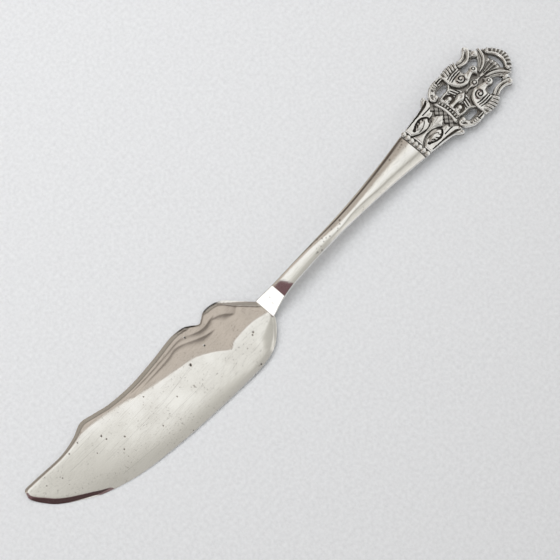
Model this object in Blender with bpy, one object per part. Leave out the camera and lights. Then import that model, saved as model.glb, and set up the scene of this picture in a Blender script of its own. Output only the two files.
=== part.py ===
"""Silver butter knife: a broad scalloped blade, an arched stem and a pierced handle end.

The handle end is a ground plate with soldered ornaments: a collar of beads, three acanthus
leaves, a coronet, two birds, scrolls, a plume and a gadrooned arch.
"""

import math

import bmesh
import bpy

# Driving dimensions, in metres. The stem starts at x = 0, the handle end lies towards +X, the
# spine of the blade towards +Y and the table is at z = 0.
BLADE_LENGTH = 0.0709
BLADE_WIDTH = 0.0231
BLADE_THICKNESS = 0.0013
TIP_THICKNESS = 0.0009
EDGE_THICKNESS = 0.0005
EDGE_BEVEL = 0.0011
EDGE_BEVEL_RISE = 0.00032
SPINE_DROP = 0.0005
SPINE_BEVEL = 0.0009
SPINE_BEVEL_DROP = 0.00025
HEEL_LIFT = 0.0010
LIFT_LENGTH = 0.028
TONGUE_LENGTH = 0.0065
TONGUE_WIDTH = 0.0036

STEM_LENGTH = 0.0540
STEM_ROOT_WIDTH = 0.0058
STEM_WAIST_WIDTH = 0.0036
STEM_END_WIDTH = 0.0082
STEM_HEIGHT = 0.0070
STEM_THICKNESS = 0.0027
STEM_END_THICKNESS = 0.0021
STEM_CROWN = 0.0008
RAMP_LENGTH = 0.0046
RAMP_RISE = 0.0033
FOOT_LAP = 0.0004
FOOT_EDGE = 0.0004

TERMINAL_LENGTH = 0.0360
TERMINAL_WIDTH = 0.0168
TERMINAL_TILT = math.radians(4.8)
PLATE_THICKNESS = 0.0011
LAP_LENGTH = 0.0060
LAP_WIDTH = 0.0046
ORNAMENT_BASE = 0.00065
SOLDER_FILM = 0.0002

COLLAR_BEADS = 7
CORONET_PEARLS = 8
WING_FEATHERS = 6
ARCH_GADROONS = 9

# Outlines are drawn in millimetres on these boxes and stretched to the dimensions above.
DRAWN_BLADE = (70.9, 23.1)
DRAWN_TERMINAL = (35.6, 16.8)

BLADE_X = BLADE_LENGTH / DRAWN_BLADE[0]
BLADE_Y = BLADE_WIDTH / DRAWN_BLADE[1]
PLAN_X = TERMINAL_LENGTH / DRAWN_TERMINAL[0]
PLAN_Y = TERMINAL_WIDTH / DRAWN_TERMINAL[1]
STROKE = min(PLAN_X, PLAN_Y)

HEEL_TOP = HEEL_LIFT + BLADE_THICKNESS
STEM_END_UNDER = TERMINAL_LENGTH * math.sin(TERMINAL_TILT)
SEAT = PLATE_THICKNESS + SOLDER_FILM
CARVED = SEAT + ORNAMENT_BASE

SIDES = (("left", 1.0), ("right", -1.0))

# Blade outline, tip to heel: (x, y). The spine has a hump near the tip and a notch near the heel.
SPINE = (
    (-70.9, 11.0), (-70.3, 12.7), (-68.0, 12.85), (-60.0, 12.2), (-57.0, 12.3), (-53.5, 13.0),
    (-49.8, 14.3), (-46.0, 13.4), (-42.0, 12.3), (-35.0, 11.6), (-27.0, 12.0), (-20.0, 12.5),
    (-16.6, 11.8), (-14.2, 10.2), (-13.2, 9.5), (-12.0, 9.95), (-9.9, 10.9), (-7.2, 10.4),
    (-5.0, 8.95), (-2.4, 5.6), (0.0, 2.9),
)
EDGE = (
    (-70.9, 10.3), (-70.0, 8.5), (-67.5, 5.1), (-62.5, 1.15), (-58.0, -1.6), (-50.0, -4.5),
    (-40.0, -6.4), (-28.0, -7.8), (-16.0, -8.65), (-10.5, -8.8), (-6.6, -8.2), (-3.7, -6.7),
    (-1.2, -4.5), (0.0, -2.9),
)
# Highest line of the blade's face, from which it falls to the spine and to the cutting edge.
CROWN_LINE = (
    (-70.9, 10.65), (-62.0, 9.0), (-52.0, 10.6), (-42.0, 9.4), (-32.0, 6.6), (-20.0, 4.2),
    (-13.0, 0.6), (-6.0, 0.3), (0.0, 0.0),
)

# Plans of the handle end: (distance from the stem's end, distance from the centre line).
PLATE_HALF = (
    (0.2, 3.95), (2.5, 4.15), (5.5, 4.55), (8.5, 4.95), (10.3, 5.65), (11.3, 6.3), (12.3, 5.5),
    (13.5, 6.0), (15.2, 7.0), (17.0, 7.35), (18.9, 7.0), (20.2, 7.5), (22.3, 7.8), (24.2, 7.3),
    (25.0, 6.6), (26.8, 6.7), (27.9, 7.1), (28.7, 8.0), (29.4, 7.9), (29.7, 7.0), (30.2, 5.75),
    (31.0, 5.2), (31.7, 5.4), (32.2, 4.3), (33.1, 4.1), (34.0, 3.3), (34.8, 2.3), (35.3, 1.1),
    (35.4, 0.0),
)
LOWER_PIERCING = (
    (15.1, 3.9), (16.5, 3.95), (17.8, 3.95), (18.55, 4.7), (18.3, 5.4), (16.8, 5.5), (15.2, 5.3),
)
UPPER_PIERCING = (
    (24.1, 4.9), (24.2, 3.9), (25.0, 3.35), (26.2, 3.55), (27.1, 3.1), (27.9, 2.65), (28.8, 2.95),
    (29.4, 3.6), (29.1, 4.3), (28.3, 4.85), (27.0, 4.9), (25.5, 4.95),
)
ARCH_PIERCING_HALF = ((31.95, 0.0), (31.85, 1.1), (31.55, 2.0), (32.1, 2.4), (32.8, 1.8), (33.2, 0.0))
CENTER_LEAF_HALF = (
    (1.95, 1.1), (3.2, 0.62), (4.6, 0.38), (6.4, 0.5), (7.8, 0.95), (8.8, 1.55), (9.35, 1.65),
    (9.75, 1.2), (10.3, 1.05), (10.75, 0.6), (11.4, 0.0),
)
SIDE_LEAF = (
    (1.95, 1.75), (3.3, 1.0), (4.6, 0.75), (6.2, 0.9), (7.5, 1.35), (8.4, 1.95), (9.4, 2.05),
    (10.35, 2.5), (10.2, 3.15), (11.2, 3.85), (11.95, 4.6), (12.15, 5.4), (11.75, 6.05),
    (11.75, 6.6), (11.35, 6.75), (10.9, 6.3), (9.6, 5.5), (8.0, 5.1), (5.0, 4.75), (1.95, 4.35),
)
CORONET_HALF = (
    (12.75, 0.0), (12.6, 1.7), (12.3, 3.25), (15.0, 3.3), (16.5, 3.55), (17.9, 3.6), (18.75, 4.3),
    (18.7, 3.3), (19.1, 2.4), (19.6, 1.5), (19.35, 0.85), (19.9, 0.0),
)
ROUNDEL_HALF = (
    (20.35, 0.0), (20.7, 0.34), (21.3, 0.28), (22.0, 0.35), (22.7, 0.65), (23.6, 0.95),
    (24.6, 0.8), (25.2, 0.3), (25.3, 0.0),
)
BIRD = (
    (19.1, 6.8), (19.1, 5.3), (19.05, 3.95), (19.65, 2.65), (20.6, 1.45), (22.2, 0.95),
    (23.3, 1.3), (24.5, 1.75), (25.35, 1.7), (26.1, 0.95), (26.75, 1.75), (27.0, 2.5),
    (26.6, 3.15), (25.9, 3.25), (25.2, 2.85), (24.4, 3.1), (23.6, 3.9), (23.7, 4.7),
    (23.9, 5.6), (24.3, 6.4), (24.7, 7.2), (24.2, 7.75), (22.8, 8.1), (21.2, 8.05), (20.0, 7.7),
)
SIDE_SCROLL = (
    (12.5, 4.45), (12.6, 5.1), (13.2, 5.85), (14.2, 6.75), (15.3, 7.35), (16.8, 7.65),
    (18.2, 7.6), (18.75, 7.2), (18.75, 6.2), (17.5, 5.8), (15.8, 5.75), (15.0, 5.5), (14.75, 4.9),
    (14.7, 4.3), (14.1, 3.75), (13.3, 3.65), (12.75, 3.95),
)
SHOULDER_SCROLL = (
    (25.1, 6.95), (26.0, 6.9), (26.9, 7.0), (27.75, 7.4), (28.3, 8.0), (29.0, 8.4), (29.65, 8.1),
    (30.0, 7.3), (30.05, 6.4), (30.7, 5.85), (30.85, 5.2), (30.45, 4.5), (29.75, 4.4), (29.2, 4.8),
    (28.9, 5.55), (27.8, 5.2), (26.4, 5.1), (25.1, 5.2), (24.55, 5.6), (24.8, 6.3),
)
PLUME_LEAF = (
    (26.95, 0.78), (28.3, 0.97), (29.5, 1.42), (30.4, 2.1), (31.2, 3.0), (31.75, 3.9),
    (32.0, 4.8), (32.0, 5.5), (31.65, 5.75), (31.35, 5.3), (30.95, 4.6), (30.3, 3.85), (29.6, 3.2),
    (28.7, 2.6), (27.7, 2.25), (27.2, 1.5),
)
BULRUSH_HALF = (
    (25.6, 0.25), (26.6, 0.3), (28.3, 0.62), (29.5, 1.05), (30.3, 1.5), (30.9, 1.85), (31.4, 1.55),
    (31.35, 1.05), (31.7, 0.6), (31.8, 0.0),
)
CREST_ARCH_HALF = (
    (33.35, 0.0), (33.15, 1.2), (32.75, 2.0), (32.2, 2.6), (32.1, 3.2), (32.2, 3.95), (32.6, 4.4),
    (33.2, 4.35), (33.95, 3.7), (34.8, 2.6), (35.4, 1.3), (35.6, 0.0),
)


def clear_scene():
    for old in list(bpy.data.objects):
        bpy.data.objects.remove(old, do_unlink=True)
    for old in list(bpy.data.collections):
        bpy.data.collections.remove(old)


def new_collection(name):
    made = bpy.data.collections.new(name)
    bpy.context.scene.collection.children.link(made)
    return made


def silver(name, grey, roughness):
    """A metal finish: worn polished silver, or the darker oxidised silver of the ornaments."""
    finish = bpy.data.materials.new(name)
    finish.use_nodes = True
    shader = finish.node_tree.nodes["Principled BSDF"]
    shader.inputs["Base Color"].default_value = (grey, grey * 0.98, grey * 0.94, 1.0)
    shader.inputs["Metallic"].default_value = 1.0
    shader.inputs["Roughness"].default_value = roughness
    return finish


def through(points, x):
    """The height at x of a smooth line through points set by hand."""
    i = max(1, min(len(points) - 1, sum(1 for p in points if p[0] < x)))
    (x0, y0), (x1, y1) = points[i - 1], points[i]

    def slope(k):
        before = points[max(k - 1, 0)]
        after = points[min(k + 1, len(points) - 1)]
        return (after[1] - before[1]) / (after[0] - before[0])

    span = x1 - x0
    u = min(1.0, max(0.0, (x - x0) / span))
    rise = u * u * (3.0 - 2.0 * u)
    return (
        y0 * (1.0 - rise)
        + y1 * rise
        + span * u * (1.0 - u) * ((1.0 - u) * slope(i - 1) - u * slope(i))
    )


def loft(name, rings):
    """One closed body through cross-sections of equal point count."""
    shape = bmesh.new()
    loops = [[shape.verts.new(point) for point in ring] for ring in rings]
    for near, far in zip(loops, loops[1:]):
        for i in range(len(near)):
            j = (i + 1) % len(near)
            shape.faces.new((near[i], near[j], far[j], far[i]))
    shape.faces.new(loops[0])
    shape.faces.new(loops[-1])
    bmesh.ops.recalc_face_normals(shape, faces=shape.faces)
    mesh = bpy.data.meshes.new(name)
    shape.to_mesh(mesh)
    shape.free()
    return bpy.data.objects.new(name, mesh)


def stations(*lines, parts=3):
    """Section places along a body: the knots of its outlines and even steps between them."""
    knots = sorted({round(x, 7) for line in lines for x, _ in line})
    places = [knots[0]]
    for near, far in zip(knots, knots[1:]):
        steps = max(1, min(parts, round((far - near) / 0.0012)))
        places += [near + (far - near) * k / steps for k in range(1, steps + 1)]
    return places


def stem_lines():
    """Top and underside of the stem along its middle."""
    foot = HEEL_TOP + SOLDER_FILM
    end = STEM_LENGTH
    top = (
        (-FOOT_LAP, foot + FOOT_EDGE),
        (0.0, foot + FOOT_EDGE + RAMP_RISE * FOOT_LAP / RAMP_LENGTH),
        (RAMP_LENGTH, foot + RAMP_RISE),
        (end * 0.16, STEM_HEIGHT - 0.07 * STEM_THICKNESS),
        (end * 0.30, STEM_HEIGHT),
        (end * 0.62, STEM_HEIGHT * 0.58 + (STEM_END_UNDER + STEM_END_THICKNESS) * 0.42 + 0.0001),
        (end, STEM_END_UNDER + STEM_END_THICKNESS),
    )
    under = (
        (-FOOT_LAP, foot),
        (0.0, foot),
        (RAMP_LENGTH, foot + 0.24 * RAMP_RISE),
        (end * 0.18, STEM_HEIGHT - STEM_THICKNESS - 0.0002),
        (end * 0.30, STEM_HEIGHT - STEM_THICKNESS),
        (end * 0.62, (STEM_HEIGHT - STEM_THICKNESS) * 0.66 + STEM_END_UNDER * 0.34),
        (end - LAP_LENGTH, STEM_END_UNDER + LAP_LENGTH * math.sin(TERMINAL_TILT)),
        (end, STEM_END_UNDER),
    )
    return top, under


def build_blade():
    """Sheet blade: flat below, crowned above, with a bevelled cutting edge and a heel tongue."""
    spine = [(x * BLADE_X, y * BLADE_Y) for x, y in SPINE]
    edge = [(x * BLADE_X, y * BLADE_Y) for x, y in EDGE]
    crown = [(x * BLADE_X, y * BLADE_Y) for x, y in CROWN_LINE]
    under = stem_lines()[1]
    rings = []
    for x in stations(spine, edge):
        low, high, top_line = through(edge, x), through(spine, x), through(crown, x)
        base = HEEL_LIFT * max(0.0, 1.0 + x / LIFT_LENGTH) ** 2
        thick = TIP_THICKNESS + (BLADE_THICKNESS - TIP_THICKNESS) * (1.0 + x / BLADE_LENGTH)
        top_line = min(max(top_line, low + 0.45 * (high - low)), low + 0.9 * (high - low))
        bevel = min(EDGE_BEVEL, 0.35 * (top_line - low))
        shoulder = EDGE_THICKNESS + EDGE_BEVEL_RISE * bevel / EDGE_BEVEL
        brink = high - min(SPINE_BEVEL, 0.5 * (high - top_line))
        drop = SPINE_DROP * min(1.0, (brink - top_line) / 0.006)
        ring = [(x, low, base), (x, low, base + EDGE_THICKNESS)]
        for k in range(5):
            near = (1.0 - k / 5) ** 2
            y = low + bevel + (top_line - low - bevel) * k / 5
            ring.append((x, y, base + thick - (thick - shoulder) * near))
        for k in range(5):
            y = top_line + (brink - top_line) * k / 4
            ring.append((x, y, base + thick - drop * (k / 4) ** 2))
        ring.append((x, high, base + thick - drop - SPINE_BEVEL_DROP))
        ring.append((x, high, base))
        rings.append(ring)
    for k in range(1, 8):
        x = TONGUE_LENGTH * k / 7
        half = 0.5 * TONGUE_WIDTH * math.sqrt(max(0.06, 1.0 - (k / 7) ** 4))
        top = through(under, x) - SOLDER_FILM
        base = top - BLADE_THICKNESS + 0.45 * BLADE_THICKNESS * k / 7
        ring = [(x, -half, base)]
        ring += [(x, -half + 2.0 * half * i / 11, top) for i in range(12)]
        ring.append((x, half, base))
        rings.append(ring)
    return loft("blade", rings)


def build_stem():
    """Arched shank: a flat ramp up from the blade, a narrow waist and a crowned, widening end."""
    top, under = stem_lines()
    end = STEM_LENGTH
    waist, root, tail = STEM_WAIST_WIDTH / 2, STEM_ROOT_WIDTH / 2, STEM_END_WIDTH / 2
    widths = (
        (-FOOT_LAP, root), (0.0, root), (RAMP_LENGTH, waist + 0.28 * (root - waist)),
        (end * 0.18, waist), (end * 0.46, waist), (end * 0.65, waist + 0.2 * (tail - waist)),
        (end * 0.83, waist + 0.55 * (tail - waist)), (end, tail),
    )
    crowns = (
        (-FOOT_LAP, 0.05 * STEM_CROWN), (RAMP_LENGTH, 0.12 * STEM_CROWN),
        (end * 0.22, 0.45 * STEM_CROWN), (end * 0.6, 0.7 * STEM_CROWN), (end, STEM_CROWN),
    )
    rings = []
    for x in stations(top, under, widths, parts=5):
        half, high, low = through(widths, x), through(top, x), through(under, x)
        crown = through(crowns, x)
        waistline = low + 0.55 * (high - crown - low)
        ring = [(x, -0.84 * half, low), (x, -half, waistline)]
        for k in range(9):
            across = k / 4 - 1.0
            ring.append((x, half * across, high - crown * across * across))
        ring += [(x, half, waistline), (x, 0.84 * half, low)]
        rings.append(ring)
    return loft("stem", rings)


def plan(along, across):
    return (along * PLAN_X, across * PLAN_Y, 0.0)


def mirrored(half):
    """A closed outline from its half on the left of the centre line."""
    other = [(along, -across) for along, across in reversed(half) if across > 0.0]
    return list(half) + other


def as_solid(shape):
    """A curve turned to one welded mesh."""
    bpy.context.scene.collection.objects.link(shape)
    graph = bpy.context.evaluated_depsgraph_get()
    mesh = bpy.data.meshes.new_from_object(shape.evaluated_get(graph))
    bpy.data.objects.remove(shape, do_unlink=True)
    welded = bmesh.new()
    welded.from_mesh(mesh)
    bmesh.ops.remove_doubles(welded, verts=welded.verts, dist=0.000001)
    bmesh.ops.recalc_face_normals(welded, faces=welded.faces)
    welded.to_mesh(mesh)
    welded.free()
    solid = bpy.data.objects.new("solid", mesh)
    bpy.context.scene.collection.objects.link(solid)
    return solid


def sheet(loops, low, high, corners=(), fineness=3):
    """A flat piece cut to an outline, any further loops being openings in it."""
    curve = bpy.data.curves.new("outline", "CURVE")
    curve.dimensions = "2D"
    curve.fill_mode = "BOTH"
    curve.resolution_u = fineness
    curve.extrude = (high - low) / 2
    for loop in loops:
        spline = curve.splines.new("BEZIER")
        spline.use_cyclic_u = True
        spline.bezier_points.add(len(loop) - 1)
        for point, at in zip(spline.bezier_points, loop):
            handle = "VECTOR" if at in corners else "AUTO"
            point.co = plan(*at)
            point.handle_left_type = handle
            point.handle_right_type = handle
    solid = as_solid(bpy.data.objects.new("outline", curve))
    for vertex in solid.data.vertices:
        vertex.co.z += (low + high) / 2
    return solid


def ridge(points, widths, closed=False, fineness=2):
    """A half-sunk round wire along a path, its width given at each point."""
    curve = bpy.data.curves.new("ridge", "CURVE")
    curve.dimensions = "3D"
    curve.resolution_u = fineness
    curve.bevel_depth = 1.0
    curve.bevel_resolution = 1
    curve.use_fill_caps = True
    spline = curve.splines.new("BEZIER")
    spline.use_cyclic_u = closed
    spline.bezier_points.add(len(points) - 1)
    for point, at, width in zip(spline.bezier_points, points, widths):
        across = plan(*at)
        point.co = (across[0], across[1], CARVED - 0.00005)
        point.radius = 0.0005 * width * STROKE / 0.001
        point.handle_left_type = "AUTO"
        point.handle_right_type = "AUTO"
    return as_solid(bpy.data.objects.new("ridge", curve))


def dome(at, long, wide, height, turn=0.0):
    """A half-sunk rounded boss, its sizes as full widths."""
    shape = bmesh.new()
    bmesh.ops.create_uvsphere(shape, u_segments=10, v_segments=6, radius=0.5)
    cosine, sine = math.cos(turn), math.sin(turn)
    where = plan(*at)
    for vertex in shape.verts:
        along, across = vertex.co.x * long * STROKE, vertex.co.y * wide * STROKE
        vertex.co.x = where[0] + along * cosine - across * sine
        vertex.co.y = where[1] + along * sine + across * cosine
        vertex.co.z = CARVED - 0.00004 + 2.0 * vertex.co.z * height * 0.001
    mesh = bpy.data.meshes.new("dome")
    shape.to_mesh(mesh)
    shape.free()
    solid = bpy.data.objects.new("dome", mesh)
    bpy.context.scene.collection.objects.link(solid)
    return solid


def soldered(name, base, *pieces):
    """One closed body from a base sheet and the relief worked on it."""
    for piece in pieces:
        join = base.modifiers.new("join", "BOOLEAN")
        join.operation = "UNION"
        join.solver = "EXACT"
        join.object = piece
    graph = bpy.context.evaluated_depsgraph_get()
    mesh = bpy.data.meshes.new_from_object(base.evaluated_get(graph))
    for used in (base, *pieces):
        bpy.data.objects.remove(used, do_unlink=True)
    mesh.name = name
    return bpy.data.objects.new(name, mesh)


def build_ground_plate():
    """Pierced plate that carries the ornaments, with a tab that laps under the stem."""
    tab = LAP_WIDTH / 2 / PLAN_Y
    lap = LAP_LENGTH / PLAN_X
    half = ((-lap, tab), (0.2, tab)) + PLATE_HALF
    corners = [(a, side * b) for a, b in half[:3] for side in (1.0, -1.0)]
    loops = [mirrored(half), mirrored(ARCH_PIERCING_HALF)]
    for _, side in SIDES:
        loops += [[(a, side * b) for a, b in loop] for loop in (LOWER_PIERCING, UPPER_PIERCING)]
    plate = sheet(loops, 0.0, PLATE_THICKNESS, corners, fineness=2)
    plate.name = "ground_plate"
    bpy.context.scene.collection.objects.unlink(plate)
    return plate


def build_collar():
    ends = ((0.4, 4.05), (1.65, 4.15))
    corners = [(a, side * b) for a, b in ends for side in (1.0, -1.0)]
    base = sheet([mirrored(ends)], SEAT, CARVED, corners)
    step = 7.4 / (COLLAR_BEADS - 1) if COLLAR_BEADS > 1 else 0.0
    beads = [dome((1.02, -3.7 + step * k), 1.1, 0.94 * step, 0.55) for k in range(COLLAR_BEADS)]
    return soldered("bead_collar", base, *beads)


def build_center_leaf():
    corners = ((1.95, 1.1), (1.95, -1.1))
    base = sheet([mirrored(CENTER_LEAF_HALF)], SEAT, CARVED, corners)
    rib = ridge(((2.3, 0.0), (5.0, 0.0), (8.6, 0.0), (10.9, 0.0)), (0.9, 0.6, 0.8, 0.3))
    veins = [
        ridge(((6.2, side * 0.12), (7.8, side * 0.5), (9.1, side * 1.25)), (0.4, 0.55, 0.5))
        for _, side in SIDES
    ]
    return soldered("center_acanthus_leaf", base, rib, *veins)


def build_side_leaf(name, side):
    corners = ((1.95, side * 1.75), (1.95, side * 4.35))
    base = sheet([[(a, side * b) for a, b in SIDE_LEAF]], SEAT, CARVED, corners)
    tongue = dome((5.75, side * 2.15), 4.6, 1.9, 0.5, side * -0.06)
    outer = ridge(
        ((2.3, side * 3.6), (5.0, side * 3.85), (8.0, side * 3.95), (10.2, side * 4.25),
         (11.6, side * 5.25)),
        (0.9, 0.7, 0.6, 0.7, 0.9),
    )
    inner = ridge(((2.4, side * 1.95), (4.2, side * 1.15), (6.4, side * 1.2)), (0.7, 0.55, 0.4))
    tip = dome((9.7, side * 2.6), 1.2, 0.9, 0.4)
    knob = dome((11.35, side * 6.3), 0.8, 0.7, 0.45)
    return soldered(name, base, tongue, outer, inner, tip, knob)


def build_coronet():
    corners = [(a, side * b) for a, b in ((12.3, 3.25), (15.0, 3.3), (18.75, 4.3)) for side in (1.0, -1.0)]
    base = sheet([mirrored(CORONET_HALF)], SEAT, CARVED, corners)
    band = ridge(((12.65, -3.05), (12.9, -1.6), (13.0, 0.0), (12.9, 1.6), (12.65, 3.05)), (0.55,) * 5)
    rim = ridge(((14.65, -3.1), (14.65, 0.0), (14.65, 3.1)), (0.7,) * 3)
    step = 5.7 / (CORONET_PEARLS - 1) if CORONET_PEARLS > 1 else 0.0
    pearls = [
        dome((13.83, -2.85 + step * k), 0.72, 0.9 * min(step, 0.82), 0.35) for k in range(CORONET_PEARLS)
    ]
    relief = [band, rim, *pearls]
    relief.append(ridge(((14.8, 0.0), (16.4, 0.0), (18.0, 0.0)), (1.0, 0.8, 1.0)))
    relief.append(dome((18.25, 0.0), 2.4, 1.7, 0.5))
    for _, side in SIDES:
        relief.append(
            ridge(((14.8, side * 2.95), (16.4, side * 3.2), (17.6, side * 3.2), (18.4, side * 3.85)),
                  (0.6, 0.6, 0.7, 0.4))
        )
        relief.append(ridge(((14.8, side * 1.7), (16.0, side * 1.7)), (0.8, 0.8)))
        relief.append(dome((16.15, side * 1.7), 1.3, 1.25, 0.5))
        relief.append(ridge(((17.8, side * 2.7), (18.6, side * 2.0), (19.2, side * 1.3)), (0.7, 0.8, 0.5)))
    return soldered("coronet", base, *relief)


def build_roundel():
    base = sheet([mirrored(ROUNDEL_HALF)], SEAT, CARVED)
    bead = dome((20.78, 0.0), 0.66, 0.6, 0.35)
    boss = dome((23.75, 0.0), 2.6, 1.65, 0.3)
    ring = ridge(((24.35, 0.0), (23.8, 0.55), (23.25, 0.0), (23.8, -0.55)), (0.42,) * 4, closed=True)
    return soldered("roundel", base, bead, boss, ring)


def build_bird(name, side):
    """Bird in profile facing the middle: curved back, round body, head and a ribbed wing."""
    corners = ((26.1, side * 0.95), (23.6, side * 3.9))
    base = sheet([[(a, side * b) for a, b in BIRD]], SEAT, CARVED, corners)
    back = ridge(
        ((19.5, side * 6.9), (19.5, side * 5.4), (19.45, side * 3.95), (20.05, side * 2.8),
         (20.95, side * 1.8), (22.3, side * 1.38), (23.5, side * 1.75), (24.7, side * 2.3),
         (26.0, side * 2.45)),
        (0.5, 0.62, 0.65, 0.7, 0.75, 0.8, 0.95, 0.95, 0.8),
    )
    relief = [back]
    relief.append(dome((22.35, side * 2.85), 2.5, 2.1, 0.5))
    relief.append(dome((26.15, side * 2.45), 1.6, 1.5, 0.55))
    relief.append(ridge(((26.2, side * 2.1), (26.13, side * 1.25)), (0.7, 0.3)))
    for k in range(3):
        low = side * (4.15 + 0.6 * k)
        bent = low + side * 0.22
        relief.append(ridge(((20.1, low), (21.8, bent), (23.35, bent)), (0.4, 0.5, 0.45)))
    pitch = 4.3 / WING_FEATHERS
    for k in range(WING_FEATHERS):
        root = 20.0 + pitch * (k + 0.3)
        sweep = 0.35 + 0.35 * k / WING_FEATHERS
        reach = 7.75 - 0.2 * abs(k - 0.45 * WING_FEATHERS) ** 1.3 / 3.0
        relief.append(
            ridge(
                ((root, side * 6.1), (root + 0.5 * sweep, side * 6.9), (root + sweep, side * (reach - 0.05))),
                (0.72 * pitch, 0.86 * pitch, 0.6 * pitch),
            )
        )
    return soldered(name, base, *relief)


def build_side_scroll(name, side):
    """C-scroll with a curled volute, three binding rings and a reeded tail."""
    corners = ((18.75, side * 7.2), (18.75, side * 6.2))
    base = sheet([[(a, side * b) for a, b in SIDE_SCROLL]], SEAT, CARVED, corners)
    rim = ridge(
        ((13.9, side * 5.0), (13.1, side * 4.75), (13.25, side * 5.5), (14.2, side * 6.4),
         (15.4, side * 7.0), (16.9, side * 7.28), (18.5, side * 7.15)),
        (0.4, 0.6, 0.62, 0.6, 0.62, 0.6, 0.5),
    )
    volute = dome((13.75, side * 4.5), 1.45, 1.35, 0.5)
    rings = [
        ridge(((15.35 + 0.5 * k, side * 6.0), (15.5 + 0.5 * k, side * 7.25)), (0.4, 0.4)) for k in range(3)
    ]
    reed = ridge(((17.1, side * 6.45), (18.55, side * 6.5)), (0.5, 0.45))
    return soldered(name, base, rim, volute, *rings, reed)


def build_shoulder_scroll(name, side):
    """S-scroll of two reeds that flares to a knob, with a large bead in its bend."""
    base = sheet([[(a, side * b) for a, b in SHOULDER_SCROLL]], SEAT, CARVED)
    outer = ridge(
        ((25.3, side * 6.6), (26.3, side * 6.55), (27.3, side * 6.8), (28.2, side * 7.45),
         (29.0, side * 8.05)),
        (0.5, 0.55, 0.6, 0.6, 0.6),
    )
    inner = ridge(
        ((24.9, side * 5.65), (26.3, side * 5.5), (27.9, side * 5.72), (28.9, side * 6.45),
         (29.6, side * 7.3)),
        (0.6, 0.65, 0.65, 0.65, 0.5),
    )
    bead = dome((30.0, side * 5.15), 1.55, 1.5, 0.55)
    return soldered(name, base, outer, inner, bead)


def build_plume_leaf(name, side):
    base = sheet([[(a, side * b) for a, b in PLUME_LEAF]], SEAT, CARVED, ((26.95, side * 0.78),))
    rib = ridge(
        ((27.25, side * 1.12), (28.6, side * 1.45), (29.9, side * 2.15), (30.9, side * 3.15),
         (31.5, side * 4.2), (31.72, side * 5.3)),
        (0.4, 0.55, 0.62, 0.62, 0.58, 0.45),
    )
    return soldered(name, base, rib)


def build_bulrush():
    """Spray of four stems with round heads."""
    base = sheet([mirrored(BULRUSH_HALF)], SEAT, CARVED)
    relief = []
    for along, across in ((30.8, 1.45), (31.2, 0.55), (31.2, -0.55), (30.8, -1.45)):
        stem = ((26.0, 0.1 * across), (28.4, 0.38 * across), (along - 0.3, 0.9 * across))
        relief.append(ridge(stem, (0.2, 0.34, 0.34)))
        relief.append(dome((along, across), 0.8, 0.7, 0.4))
    return soldered("bulrush_spray", base, *relief)


def build_crest_arch():
    """Crowning arch: an inner reed, a fan of gadroons and a bead at each end."""
    base = sheet([mirrored(CREST_ARCH_HALF)], SEAT, CARVED)
    reed = ridge(
        ((32.55, -2.75), (33.2, -2.1), (33.65, -1.15), (33.8, 0.0), (33.65, 1.15), (33.2, 2.1),
         (32.55, 2.75)),
        (0.5,) * 7,
    )
    relief = [reed]
    for k in range(ARCH_GADROONS):
        turn = math.radians(-52.0 + 104.0 * k / max(1, ARCH_GADROONS - 1))
        centre = (30.55 + 4.05 * math.cos(turn), 4.2 * math.sin(turn))
        relief.append(dome(centre, 1.15, 6.0 / ARCH_GADROONS, 0.45, turn))
    relief += [dome((32.75, side * 3.65), 1.0, 0.95, 0.5) for _, side in SIDES]
    return soldered("crest_arch", base, *relief)


def cut_lap(stem, frame, cutters):
    """Rebate under the stem's end that takes the ground plate's tab."""
    shape = bmesh.new()
    bmesh.ops.create_cube(shape, size=1.0)
    length = LAP_LENGTH + 2.0 * SOLDER_FILM
    for vertex in shape.verts:
        vertex.co.x = vertex.co.x * 2.0 * length
        vertex.co.y = vertex.co.y * (LAP_WIDTH + 2.0 * SOLDER_FILM)
        vertex.co.z = (vertex.co.z + 0.5) * (SEAT + STEM_THICKNESS) - STEM_THICKNESS
    mesh = bpy.data.meshes.new("lap_cutter")
    shape.to_mesh(mesh)
    shape.free()
    cutter = bpy.data.objects.new("lap_cutter", mesh)
    cutter.hide_render = True
    cutter.display_type = "WIRE"
    cutter.parent = frame
    cutters.objects.link(cutter)
    rebate = stem.modifiers.new("lap", "BOOLEAN")
    rebate.operation = "DIFFERENCE"
    rebate.solver = "EXACT"
    rebate.object = cutter


def empty(name, home, parent=None):
    made = bpy.data.objects.new(name, None)
    made.empty_display_size = 0.005
    made.parent = parent
    home.objects.link(made)
    return made


def centre(knife, pieces):
    """Moves the knife so that its origin is under the middle of its box."""
    bpy.context.view_layer.update()
    graph = bpy.context.evaluated_depsgraph_get()
    corners = []
    for piece in pieces:
        shown = piece.evaluated_get(graph)
        corners += [shown.matrix_world @ vertex.co for vertex in shown.data.vertices]
    for axis in (0, 1):
        reach = [corner[axis] for corner in corners]
        knife.location[axis] = -(min(reach) + max(reach)) / 2
    knife.location[2] = -min(corner[2] for corner in corners)


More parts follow.
